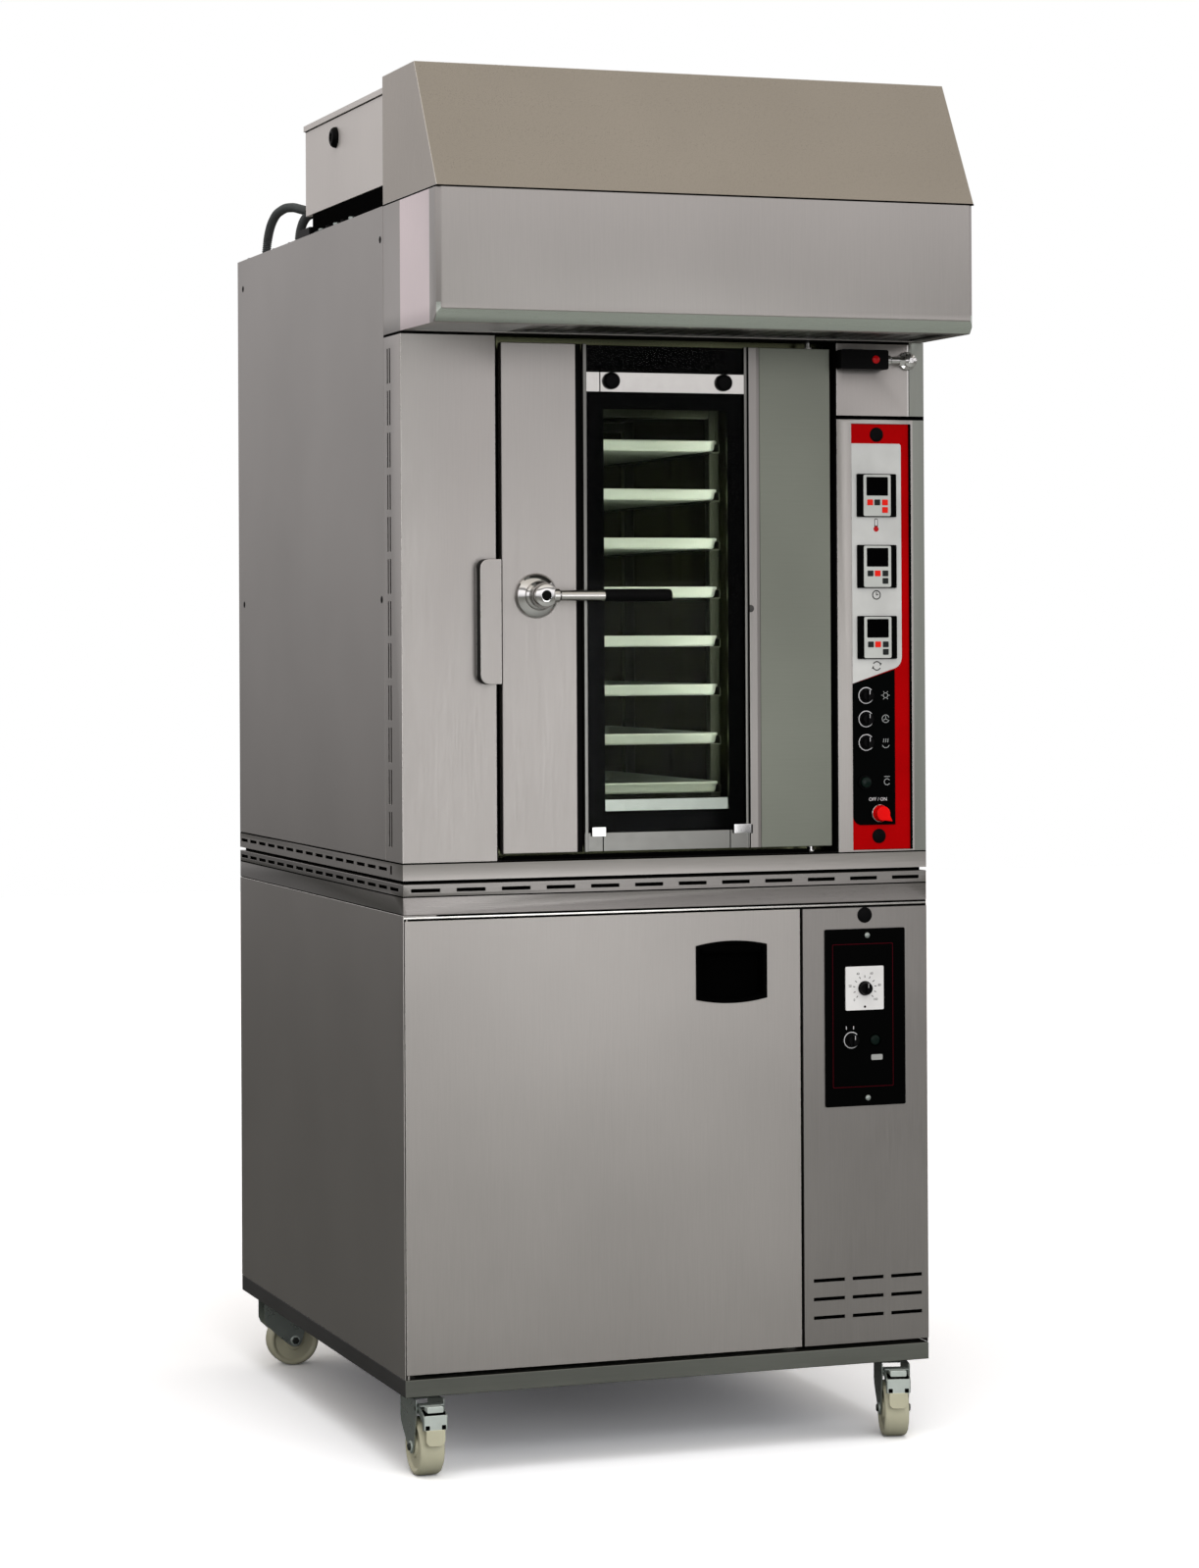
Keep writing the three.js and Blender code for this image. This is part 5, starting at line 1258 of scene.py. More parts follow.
class RACKOVEN_OT_door(bpy.types.Operator):
    """Oven door: steel panels, window trims, glass with its black border, rail, clips and knobs"""

    bl_idname = "rack_oven.door"
    bl_label = "Oven door"

    def execute(self, context):
        body = "oven_door"
        x0, x1 = DOOR[0], DOOR[1]
        z0, z1 = DOOR_BOTTOM, DOOR_TOP
        trim = sizes().trim / MM
        border = sizes().border / MM
        left_trim = GLASS[0] - 5
        right_trim = GLASS[1] - trim
        fold = GLASS[1] + 3
        panel_right = fold + 20
        step = FRONT + 4
        rear = FRONT + DOOR_SKIN
        form = Form()
        form.box(x0, left_trim - 12.5, FRONT, rear, z0, z1, "steel_upright", 1.6, 3)
        # The folded strip right of the glass is a darker steel, painted shade.
        form.prism([
            (fold, step + 3), (fold, step), (fold + 3, step), (panel_right - 5, step),
            (panel_right - 0.6, FRONT + 0.6), (panel_right - 0.6, rear), (fold, rear),
        ], "z", z0, z1, "steel_shaded", 1.0, 2)
        # The door's right panel is a darker steel, painted shade.
        form.box(panel_right - 0.6, x1, FRONT, rear, z0, z1, "steel_cross", 1.4, 3)
        # The trim at the window's left edge is polished steel darkened as painted shade.
        form.box(left_trim - 12.4, left_trim, FRONT + 9, rear, z0, z1, "steel_trim", 0.5)
        form.box(left_trim - 11.5, left_trim - 0.5, FRONT + 8, FRONT + 9.2, z0, z1, "black_rubber")
        form.box(GLASS[1] + 0.2, fold, FRONT + 5, rear, z0, z1, "black_rubber")
        self.rear_box(form, rear)
        form.piece("door_shell", body, "oven_door", "steel")

        strips = Form()
        # The trims beside the glass are polished steel darkened as painted shade.
        for low, high in ((left_trim + 0.6, left_trim + trim), (right_trim, right_trim + trim - 2)):
            strips.box(low, high, FRONT - 1.5, FRONT + 9, z0, z1, "steel_trim", 0.8)
        strips.box(right_trim + trim, fold, FRONT + 1.5, FRONT + 6, z0, z1, "black_rubber")
        strips.piece("window_trims", body)
        self.glass(left_trim + trim, right_trim, border)
        self.fittings(left_trim, left_trim + trim, right_trim, right_trim + trim)
        self.hinge_pins()
        return {"FINISHED"}

    def rear_box(self, form, rear):
        """The insulated inner box of the door, a frame round the window tunnel."""
        step = 30
        back = FRONT + 55
        outer = rounded(DOOR[0] + step, DOOR[1] - step, DOOR_BOTTOM + step, DOOR_TOP - step, 6)
        tunnel = rounded(GLASS[0] + 22, GLASS[1] - 22, DOOR_BOTTOM + 70, DOOR_TOP - 90, 6)
        # The door's inner box is a dark steel, painted shade.
        form.frame_plate(outer, tunnel, "y", rear - 0.5, back - 6.4, "steel_chamber")
        rebate = rounded(
            INNER_GLASS[0] - 0.4, INNER_GLASS[1] + 0.4, INNER_GLASS[4] - 0.4, INNER_GLASS[5] + 0.4, 6
        )
        form.frame_plate(outer, rebate, "y", back - 6.4, back, "steel_chamber")
        # The window tunnel behind the glass is lined in black as painted shade.
        front_outer = rounded(GLASS[0] - 0.2, GLASS[1] + 0.2, DOOR_BOTTOM + 2, DOOR_TOP - 2, 2)
        form.frame_plate(front_outer, tunnel, "y", FRONT + 7.2, rear, "black_shadow")

    def glass(self, left, right, border):
        """Outer pane with its printed border, and the inner pane."""
        body = "oven_door"
        z0, z1 = DOOR_BOTTOM, DOOR_TOP
        pane = Form()
        pane.prism(rounded(left, right, z0 + 2, z1 - 2, 2), "y", FRONT + 0.4, FRONT + 5.6, "door_glass", 0.4)
        pane.piece("front_pane", body, "door_glass_outer", "dark_glass")
        printed = Form()
        printed.frame_plate(
            rounded(left, right, z0 + 2, z1 - 2, 2),
            rounded(left + border, right - border + 4, z0 + 58, z1 - 113, 2),
            "y", FRONT + 5.8, FRONT + 6.4, "black_gloss",
        )
        printed.piece("glass_border", body)
        inner = Form()
        inner.prism(
            rounded(INNER_GLASS[0] + 1, INNER_GLASS[1] - 1, INNER_GLASS[4] + 1, INNER_GLASS[5] - 1, 6), "y",
            INNER_GLASS[2] + 0.3, INNER_GLASS[3] - 0.3, "inner_glass", 0.4,
        )
        inner.piece("rear_pane", body, "door_glass_inner", "clear_glass")

    def fittings(self, outer_left, left, right, outer_right):
        """Top strip with two knobs, bottom rail with its seams and clips, and the strip behind the glass."""
        body = "oven_door"
        strip_low, strip_high = DOOR_TOP - 83, DOOR_TOP - 49
        rail_top = DOOR_BOTTOM + 33
        form = Form()
        seam = left + 25
        for low, high in ((left, seam - 0.9), (seam + 0.9, right)):
            form.box(low, high, FRONT - 0.8, FRONT + 0.5, strip_low, strip_high, "steel_bright", 0.3)
        # The bottom rail is polished steel darkened as painted shade.
        for low, high in ((outer_left, left + 26), (left + 27.6, right - 31), (right - 29.4, outer_right)):
            form.box(low, high, FRONT - 1.2, FRONT + 3, DOOR_BOTTOM + 1, rail_top, "steel_trim", 0.4)
        form.box(left + 31, right - 31, FRONT + 8, FRONT + 9.5, DOOR_BOTTOM + 61, DOOR_BOTTOM + 90,
                 "steel_sill", 0.4)
        form.piece("window_rails", body)
        clips = Form()
        for low, high in ((left + 5, left + 30), (right - 25, outer_right + 0.5)):
            clips.prism([
                (FRONT - 7, rail_top + 10), (FRONT - 7, rail_top - 6), (FRONT - 5, rail_top - 6),
                (FRONT - 5, rail_top + 8), (FRONT + 0.2, rail_top + 8), (FRONT + 0.2, rail_top + 10),
            ], "x", low, high, "chrome", 0.5)
        clips.box(outer_right + 0.8, outer_right + 4.2, FRONT - 5, FRONT + 2, rail_top - 7, rail_top + 9,
                  "black_plastic", 0.6)
        clips.piece("window_clips", body)
        knobs = Form()
        for x in (left + 45.5, right - 39):
            knobs.turned([
                (0, 11), (9, 11), (12.5, 10), (14.6, 7), (15, 3), (15, 0.5), (11, 0), (0, 0),
            ], "-y", (x, FRONT - 0.8, strip_low + 19), "black_plastic", 40)
        knobs.piece("window_knobs", body)
        plug = Form().turned([(0, 1.2), (5, 1.1), (6.5, 0.4), (6.5, 0), (0, 0)], "-y",
                             (outer_right + 5.5, FRONT + 4, DOOR_PLUG_HEIGHT), "steel_dark", 28)
        plug.piece("door_plug", body)

    def hinge_pins(self):
        """Pins on the hinge line, above and below the door."""
        place = joint_place("oven_door_open")
        form = Form()
        for low, high in ((PLINTH[5] + 0.6, DOOR_BOTTOM + 1), (DOOR_TOP - 1, LOWER_HOOD[4] - 0.6)):
            pin = [(0, 0), (5.8, 0), (5.8, high - low), (0, high - low)]
            form.turned(pin, "z", (place.x, place.y, low), "chrome", 28)
            washer = [(0, 0), (9.5, 0), (9.5, 2.4), (0, 2.4)]
            form.turned(washer, "z", (place.x, place.y, low + 1.5), "steel_bright", 28)
        form.piece("hinge_pins", "oven_door")


class RACKOVEN_OT_lever(bpy.types.Operator):
    """Chrome rosette and hub with a steel bar and black grip"""

    bl_idname = "rack_oven.lever"
    bl_label = "Door lever"

    def execute(self, context):
        place = joint_place("door_lever_turn")
        x, z = place.x, place.z
        plane = FRONT - 0.4
        form = Form()
        form.turned([
            (0, 0), (39, 0), (39.2, 2.2), (38, 5), (34.5, 8.5), (29, 12), (25, 14.5), (24, 17),
            (25.5, 19.5), (26, 22),
            (24, 25), (21.5, 27), (21, 31), (22, 34), (22.4, 45), (21.6, 51), (19, 55.5), (14.5, 57.6),
            (9.5, 58), (9.2, 57.2), (0, 57.2),
        ], "-y", (x, plane, z), "chrome", 72)
        plug = [(0, 1.8), (6, 1.6), (8.6, 0.8), (9, 0), (0, 0)]
        form.turned(plug, "-y", (x, plane - 57.2, z), "black_plastic", 36)
        bar_y = FRONT - 48
        grip_x = LEVER[1] - 122
        reach = grip_x - x - 14
        bar = [(0, 0), (12.5, 0), (12.5, 9), (9.4, 13), (9.4, reach), (0, reach)]
        form.turned(bar, "x", (x + 15, bar_y, z), "steel_bright", 36)
        form.turned([
            (0, -2), (10.6, -2), (11.4, 0), (11.6, 40), (11.2, 80), (11.6, 112), (11.2, 118), (9, 121.4),
            (0, 122),
        ], "x", (grip_x, bar_y, z), "black_plastic", 40)
        form.piece("lever", "door_lever", "door_lever", "chrome")
        # A black strip under the door hides the lit plinth top in the gap, as painted shade.
        low, high = PLINTH[5] + 0.2, DOOR_BOTTOM - 3.5
        sill = Form().box(DOOR[0] + 2, SILL_END, FRONT + 2, FRONT + 5, low, high, "black_shadow", 0.3)
        sill.piece("sill_seal")
        strike = Form()
        strike_z = PLINTH[5] + 306
        low, high = -SIDE + 134.8, -SIDE + 172.8
        strike.prism(rounded(low - 0.4, high, strike_z - 0.4, strike_z + 215.4, (15, 2, 2, 15)), "y",
                     FRONT - 19.6, FRONT - 0.1, "black_plastic", 0.8)
        # The strike cover's face is a darker steel, painted shade.
        strike.prism(rounded(low, high, strike_z, strike_z + 215, (15, 2, 2, 15)), "y",
                     FRONT - 21.4, FRONT - 19.4, "steel_shaded", 0.5)
        strike.piece("strike_cover")
        return {"FINISHED"}


PRINT_PLANE = FASCIA[2] - 1.3
CONTROLLER_INSET = 48
CONTROLLER_TOP = 128
CONTROLLER_PITCH = 127


# ---------------------------------------------------------------- control column


class RACKOVEN_OT_column(bpy.types.Operator):
    """Control column: steel frame, red fascia, printed plate, controllers, switches and lamps"""

    bl_idname = "rack_oven.column"
    bl_label = "Control column"

    def execute(self, context):
        column = softened("oven_column", "steel_upright", folds="steel_edge")
        banded(column, 2, LOWER_HOOD[4] - 4.5, LOWER_HOOD[4] + 1, "black_shadow")
        groove = FASCIA[5] + 7.5
        banded(column, 2, groove, groove + 7, "black_shadow", lambda at: at.y < FRONT + 12)
        # The column's right strips below and above the groove are a darker steel, painted shade.
        banded(column, 0, FASCIA[1] + 4, SIDE + 1, "steel_strip",
               lambda at: at.z < groove and at.y < FRONT + 1)
        banded(column, 0, SIDE - 28.4, SIDE + 1, "steel_strip",
               lambda at: at.z > groove + 7 and at.y < FRONT + 1)
        x0, x1, y0, y1, z0, z1 = FASCIA
        fascia = Form()
        fascia.prism(rounded(x0, x1, z0, z1, 1.5), "y", y0, y1, "fascia_red", 0.5)
        fascia.piece("red_fascia", CABINET, "control_fascia", "red_fascia")
        self.plate(x0, y0, z0, z1)
        for i in range(3):
            self.controller(i, x0 + CONTROLLER_INSET, z1 - CONTROLLER_TOP - CONTROLLER_PITCH * i)
        self.switches()
        cap("fascia_cap_top", (x0 + 50, y0, z1 - 19), 13, 2.6)
        cap("fascia_cap_bottom", (x0 + 51, y0, z0 + 24), 13, 2.6)
        shadow = Form()
        shadow.box(SIDE - JAMB_WIDTH - 1, SIDE - 8, FRONT + 1.0, FRONT + 2.2, z1 + 7.5, z1 + 14.5,
                   "black_shadow")
        shadow.box(x1 - 3.6, x1 + 0.4, y0 - 0.4, FRONT - 0.1, z0 - 0.4, z1 + 0.4, "black_shadow", 0.2)
        shadow.piece("column_groove")
        # A dark line and a strip of painted highlight beside the column's fold.
        fold = Form()
        low, high = z1 + 15, DOOR_TOP + 10
        fold.box(SIDE - 29.6, SIDE - 28.4, FRONT - 0.15, FRONT + 0.4, low, high, "black_rubber")
        fold.box(SIDE - 32.4, SIDE - 29.8, FRONT - 0.3, FRONT + 0.4, low, high, "steel_bright", 0.12)
        fold.piece("column_fold")
        return {"FINISHED"}

    def plate(self, x0, y0, z0, z1):
        """White print over black, parted by a slanting line with a rounded corner."""
        plane = PRINT_PLANE
        left, right = x0 + 0.6, x0 + 97
        top = z1 - 35
        slant_left, slant_right = z0 + 297, z0 + 322
        bend = x0 + 83
        white = Form()
        outline = [(left, slant_left), (bend - 6, slant_right)]
        for i in range(1, 8):
            t = i / 7
            u = (1 - t) ** 2 * (bend - 6) + 2 * t * (1 - t) * right + t * t * right
            v = (1 - t) ** 2 * slant_right + 2 * t * (1 - t) * (slant_right + 4) + t * t * (slant_right + 24)
            outline.append((u, v))
        outline += [(right, top - 3), (right - 3, top), (left, top)]
        white.prism(outline, "y", plane, y0, "print_pale", 0.2)
        black = Form()
        low = z0 + 44
        edge = [(left + 17, low)] + [around(left + 17, low + 17, 17, 270 - 15 * i) for i in range(1, 7)]
        outline = edge + [(left, slant_left - 0.3), (bend, slant_right - 0.3), (bend, low)]
        black.prism(outline[::-1], "y", plane + 0.1, y0, "print_black", 0.2)
        white.piece("white_plate", CABINET, "controller_plate", "pale_plate")
        black.piece("black_plate")

    def controller(self, index, x, z):
        """One controller: dark side bezels, silver face, display, four keys and a printed sign below."""
        plane = PRINT_PLANE
        face = plane - 5.4
        form = Form()
        form.prism(rounded(x - 38, x + 38, z - 38.5, z + 38.5, 2), "y", face + 0.6, plane, "black_plate", 0.6)
        form.prism(rounded(x - 26.5, x + 26.5, z - 37, z + 37, 3), "y", face - 0.6, face + 1,
                   "controller_face", 0.5)
        form.prism(rounded(x - 21, x + 21, z - 0.5, z + 33, 1.5), "y", face - 1.0, face, "black_gloss", 0.3)
        form.piece("controller_%d" % (index + 1))
        lit = [(0, 2, 3), (1,), (1,)][index]
        places = [(-14, -12.5), (0, -12.5), (15, -12.5), (15, -26)]
        keys = Form()
        for i, (dx, dz) in enumerate(places):
            material = "key_red" if i in lit else "key_dark"
            outline = rounded(x + dx - 5.6, x + dx + 5.6, z + dz - 5.2, z + dz + 5.2, 1.2)
            keys.prism(outline, "y", face - 1.4, face, material, 0.4)
        keys.piece("controller_keys_%d" % (index + 1))
        sign = Form()
        below = z - 54
        if index == 0:
            for outline, depth, material in (
                (rounded(x - 3.2, x + 3.2, below - 6, below + 13, 3), 0.15, "print_black"),
                (rounded(x - 1.8, x + 1.8, below, below + 11.5, 1.6), 0.2, "dial_white"),
                (circle(x, below - 6, 5, 20), 0.25, "lens_red"),
            ):
                sign.prism(outline, "y", plane - depth, plane, material)
        elif index == 1:
            icon_ring(sign, x, plane, below + 3, 7.6, 1.8, "print_black")
            stroke(sign, x, plane, below + 5, 5.5, 1.5, 90, "print_black")
            stroke(sign, x + 1.8, plane, below + 3.4, 4.4, 1.5, 20, "print_black")
        else:
            icon_ring(sign, x, plane, below + 3, 7.6, 1.8, "print_black", 20, 150)
            icon_ring(sign, x, plane, below + 3, 7.6, 1.8, "print_black", 200, 330)
            stroke(sign, x + 7.6, plane, below + 6, 5, 1.8, 60, "print_black")
            stroke(sign, x - 7.6, plane, below + 0.2, 5, 1.8, 60, "print_black")
        sign.piece("controller_sign_%d" % (index + 1))

    def switches(self):
        """Three rotary switches, the start button and the red main switch, with their printed signs."""
        plane = PRINT_PLANE
        signs = Form()
        for i in range(3):
            name = "oven_switch_%d" % (i + 1)
            place = joint_place(name + "_turn")
            ring_knob(name + "_grip", name, place, plane)
            sx = place.x + 38
            if i == 0:
                icon_ring(signs, sx, plane, place.z, 4.4, 1.1, "print_grey")
                self.rays(signs, sx, place.z, 7, 2.4, (0, 60, 120, 180, 240, 300))
            elif i == 1:
                icon_ring(signs, sx, plane, place.z, 6.8, 1.1, "print_grey", 20, 340)
                self.rays(signs, sx, place.z, 2.6, 4.4, (90, 210, 330))
            else:
                for dx in (-4.2, 0, 4.2):
                    stroke(signs, sx + dx, plane, place.z + 3, 7, 1.0, 80, "print_grey")
                icon_ring(signs, sx, plane, place.z - 3, 7, 1.1, "print_grey", 200, 340)
        button = extent("start_button")
        bx, bz = (button[0] + button[1]) / 2, (button[4] + button[5]) / 2
        press = Form()
        press.turned([(0, 6.2), (7, 6), (9, 5), (9.5, 3.4), (9.5, 0), (0, 0)], "-y", (bx, plane - 4.2, bz),
                     "lamp_green", 36)
        press.piece("start_cap", "start_button", "start_button")
        collar = Form().turned([(10.4, 0), (12.4, 0), (12.4, 4), (11.8, 4.8), (10.4, 4.8), (10.4, 0)], "-y",
                               (bx, plane, bz), "black_plastic", 40)
        collar.piece("start_collar")
        icon_ring(signs, bx + 44, plane, bz, 5.4, 1.2, "print_grey", 30, 330)
        stroke(signs, bx + 44, plane, bz + 9.5, 11, 1.1, 0, "print_grey")
        main = joint_place("main_switch_turn")
        signs.text("OFF / ON", 8.5, (main.x - 4, plane - 0.05, main.z + 25), 0.1, "print_white")
        signs.piece("switch_signs")
        self.main_switch(main, plane)

    def rays(self, signs, x, z, radius, length, angles):
        """Strokes that point away from a sign's middle."""
        for angle in angles:
            u, v = around(x, z, radius, angle)
            stroke(signs, u, PRINT_PLANE, v, length, 1.1, angle, "print_grey")

    def main_switch(self, place, plane):
        """A red teardrop knob in a chrome ring."""
        ring = Form()
        ring.turned([(14.2, 0), (15.8, 0), (15.7, 1.2), (15.0, 1.9), (14.3, 1.4), (14.2, 0)], "-y",
                    (place.x, plane, place.z), "chrome", 48)
        ring.piece("main_switch_ring")
        form = Form()
        outline = [around(place.x, place.z, 13, -15 + 300 * i / 24) for i in range(25)]
        outline.append((place.x + 17.5, place.z - 14.5))
        boss = [(0, 3), (13.4, 3), (13.8, 0), (0, 0)]
        form.turned(boss, "-y", (place.x, plane - 0.4, place.z), "knob_red", 48)
        form.prism(outline, "y", plane - 17, plane - 3, "knob_red", 1.4, 3)
        form.piece("main_switch_grip", "main_switch", "main_switch", "red_plastic")


class RACKOVEN_OT_damper(bpy.types.Operator):
    """Steam damper lever: black grip with a red dot on a chrome rod and pivot"""

    bl_idname = "rack_oven.damper"
    bl_label = "Damper lever"

    def execute(self, context):
        place = joint_place("damper_turn")
        x0, _, y0, _, z0, z1 = extent("damper_lever")
        x, z = place.x, place.z
        grip_end = x0 + 93
        bar_y = FRONT - 15
        form = Form()
        form.prism(rounded(x0, grip_end, z0, z1, 4), "y", y0, FRONT - 4.2, "black_plastic", 1.4, 3)
        reach = x - grip_end
        form.turned([
            (0, 0), (9.4, 0), (9.4, 7), (8, 9), (6.4, 9.6), (6.4, reach + 12), (5.6, reach + 13),
            (0, reach + 13),
        ], "x", (grip_end - 1, bar_y, z), "chrome", 40)
        nut = [(0, 0), (9.8, 0), (10.6, 1), (10.6, 8), (9.8, 9), (0, 9)]
        form.turned(nut, "x", (x - 21, bar_y, z), "chrome", 6)
        form.turned([
            (0, 0), (16.5, 0), (16.8, 2), (15.5, 5), (10, 6.4), (9, 8), (11.5, 10), (12.8, 13.5),
            (11.6, 17.4), (8, 20), (0, 20.6),
        ], "-y", (x, FRONT - 2.4, z), "chrome", 48)
        form.turned([(0, 0), (5.6, 0), (5.6, 1.2), (5, 1.8), (3, 1.8), (2.6, 0.6), (0, 0.6)], "-y",
                    (x, FRONT - 22.6, z), "chrome", 6)
        dot = [(0, 2.2), (5, 1.8), (7, 0.6), (7.2, 0), (0, 0)]
        form.turned(dot, "-y", (x0 + 68, y0 + 0.1, z), "lens_red", 36)
        form.piece("damper_grip", "damper", "damper_lever")
        return {"FINISHED"}


# ---------------------------------------------------------------- hood and extractor


class RACKOVEN_OT_hood(bpy.types.Operator):
    """Projecting hood, its seam and filters, and the extractor box behind it"""

    bl_idname = "rack_oven.hood"
    bl_label = "Hood and extractor"

    def execute(self, context):
        lower = softened("hood_lower", "steel_upright", width=0.0016)
        edge = LOWER_HOOD[2]
        # The front part of the lower hood's sides gets a painted reflection, a pale pink finish.
        banded(lower, 1, edge + 42, FRONT, "steel_corner", lambda at: abs(at.x) > SIDE - 1)
        # The hood's lower chamfer is drawn in a lighter steel, painted light.
        banded(lower, 2, LOWER_HOOD[4] + 1, LOWER_HOOD[4] + 32, "steel_bevel",
               lambda at: edge + 1 < at.y < edge + 30 and abs(at.x) < SIDE - 2)
        softened("hood_upper", "steel_hood", width=0.0016, folds="steel_edge")
        # The extractor box is drawn in a lighter steel, painted light.
        softened("extractor_box", "extractor_steel")
        self.stand()
        self.seam()
        self.extractor()
        self.underside()
        return {"FINISHED"}

    def stand(self):
        """The black stand between the roof and the extractor box, with its fixings along the roof."""
        form = Form()
        x, y0, y1 = EXTRACTOR[1] - 4, EXTRACTOR[2] + 10, EXTRACTOR[3] - 47
        low, high = ROOF[5] + 0.3, EXTRACTOR[4] - 0.3
        form.box(-x, x, y0, y1, low, high, "black_shadow", 2.0, 3)
        form.box(-x + 30, x - 30, y1 - 1, EXTRACTOR[3] - 14, low, high, "black_shadow", 2.0, 3)
        form.piece("extractor_stand", CABINET, "extractor_base", "black_plastic")
        fixings = [(-x, y0 + 60 + 74 * i, low + 9) for i in range(7)]
        head = head_mesh([(0, -1), (4.2, -1), (4.2, 1.2), (3, 2), (0, 2)], 6)
        scatter("stand_fixings", fixings, head, "zinc", TO_LEFT)

    def seam(self):
        """The dark joint between the hood's two shells, and the joint behind them."""
        z = UPPER_HOOD[4]
        y0, y1 = UPPER_HOOD[2], UPPER_HOOD[3]
        form = Form()
        form.box(-SIDE - 0.1, SIDE + 0.1, y0 - 0.15, y0 + 2, z - 2.6, z + 0.5, "black_shadow", 0.1)
        for side in (-1, 1):
            low, high = sorted((side * (SIDE - 2), side * (SIDE + 0.1)))
            form.box(low, high, y0 + 2, y1 + 0.1, z - 2.2, z + 0.4, "black_shadow", 0.1)
        form.piece("hood_seam")

    def extractor(self):
        """Lid seam, outlet collar, cable grommet, screws and the small fittings on the roof beside it."""
        x0, x1, y0, y1, _, z1 = EXTRACTOR
        lid = z1 - 10
        side = x0 + 3
        form = Form()
        form.box(side - 0.4, -side + 0.4, y0 + 0.2, y1 - 3.4, lid - 2.4, lid - 0.6, "black_rubber", 0.2)
        form.piece("lid_seal")
        grommet = Form()
        grommet.turned([
            (0, 7), (7, 7.5), (9, 10), (13, 10), (16.5, 8), (19, 4.5), (19.5, 0), (0, 0),
        ], "-x", (side, *GROMMET_PLACE), "black_plastic", 48)
        grommet.piece("box_grommet")
        collar = Form()
        outlet_y = (FRONT + BACK) / 2 - 150
        collar.turned([
            (90, -9), (92, -9), (92, -0.4), (112, -0.4), (112, -0.1), (90, -0.1), (90, -9),
        ], "z", (0, outlet_y, z1), "steel_bright", 72)
        collar.piece("outlet_collar")
        lid_screws = [(x, y, z1) for x in (x0 + 16, x1 - 16) for y in (y0 + 30, (y0 + y1) / 2, y1 - 20)]
        lid_screws += [(0, y1 - 20, z1)]
        flat_head = head_mesh([(0, -0.5), (4.4, -0.5), (4.2, 0.2), (2, 0.5), (1.5, 0.1), (0, 0.1)])
        scatter("lid_screws", lid_screws, flat_head, "zinc")
        fittings = Form()
        roof = ROOF[5]
        for i in range(7):
            y = -40 + 52 * i
            column = [(0, 0), (9, 0), (9, 5), (6.5, 6), (6.5, 16), (4, 17), (0, 17)]
            fittings.turned(column, "z", (-455, y, roof), "black_plastic" if i % 2 else "zinc", 18)
        fittings.prism(rounded(-468, -440, 210, 300, 3), "z", roof, roof + 24, "black_plastic", 1.5)
        cable = [(-456, -300, 7), (-459, -200, 6), (-455, -100, 8), (-460, 60, 7), (-458, 200, 9)]
        fittings.tube([(x, y, roof + z) for x, y, z in cable], 5, "conduit_grey", 12)
        fittings.piece("roof_fittings")

    def underside(self):
        """Baffle filters seen from below in the hood's mouth, darkened as painted shade."""
        form = Form()
        x0, x1 = LOWER_HOOD[0] + 190, LOWER_HOOD[1] - 24
        y0, y1 = LOWER_HOOD[2] + 28, FRONT - 6
        z = LOWER_HOOD[4] + 6
        count = 24
        pitch = (x1 - x0) / count
        slats = [(x0 + pitch * (i + 0.5), (y0 + y1) / 2, z) for i in range(count)]
        outer = rounded(x0 - 3, x1 + 3, y0 - 3, y1 + 3, 2)
        inner = rounded(x0 + 8, x1 - 8, y0 + 8, y1 - 8, 2)
        form.frame_plate(outer, inner, "z", z - 5, z + 9, "steel_baffle")
        # A plate beside the filters in a lighter steel, painted light.
        form.box(LOWER_HOOD[0] + 21, x0 - 4, y0 - 3, y1 + 3, z - 5, z - 3, "steel_under", 0.4)
        form.piece("filter_frame")
        half, wing = (y1 - y0) / 2 - 4, pitch * 0.44
        slat = Form().prism(
            [(-wing, -3), (0, -1.6), (wing, -3), (wing, -2), (0, -0.6), (-wing, -2)], "y", -half, half,
            "steel_baffle",
        )
        scatter("filter_slats", slats, slat.plain("slat"), "steel_baffle")


STATIONS_PER_RIB = 8
ROOF_CLEARANCE = 0.3
CONDUIT_ROUTE = [
    (0, 0), (16, 0), (75, 10), (150, 22), (225, 25), (290, 14), (330, -13), (347, -44), (352, -58),
    (352, -70),
]
SHORT_ROUTE = [(2, 2, -6), (1, 20, -6), (0, 48, -10), (0, 78, -24), (0, 94, -44)]


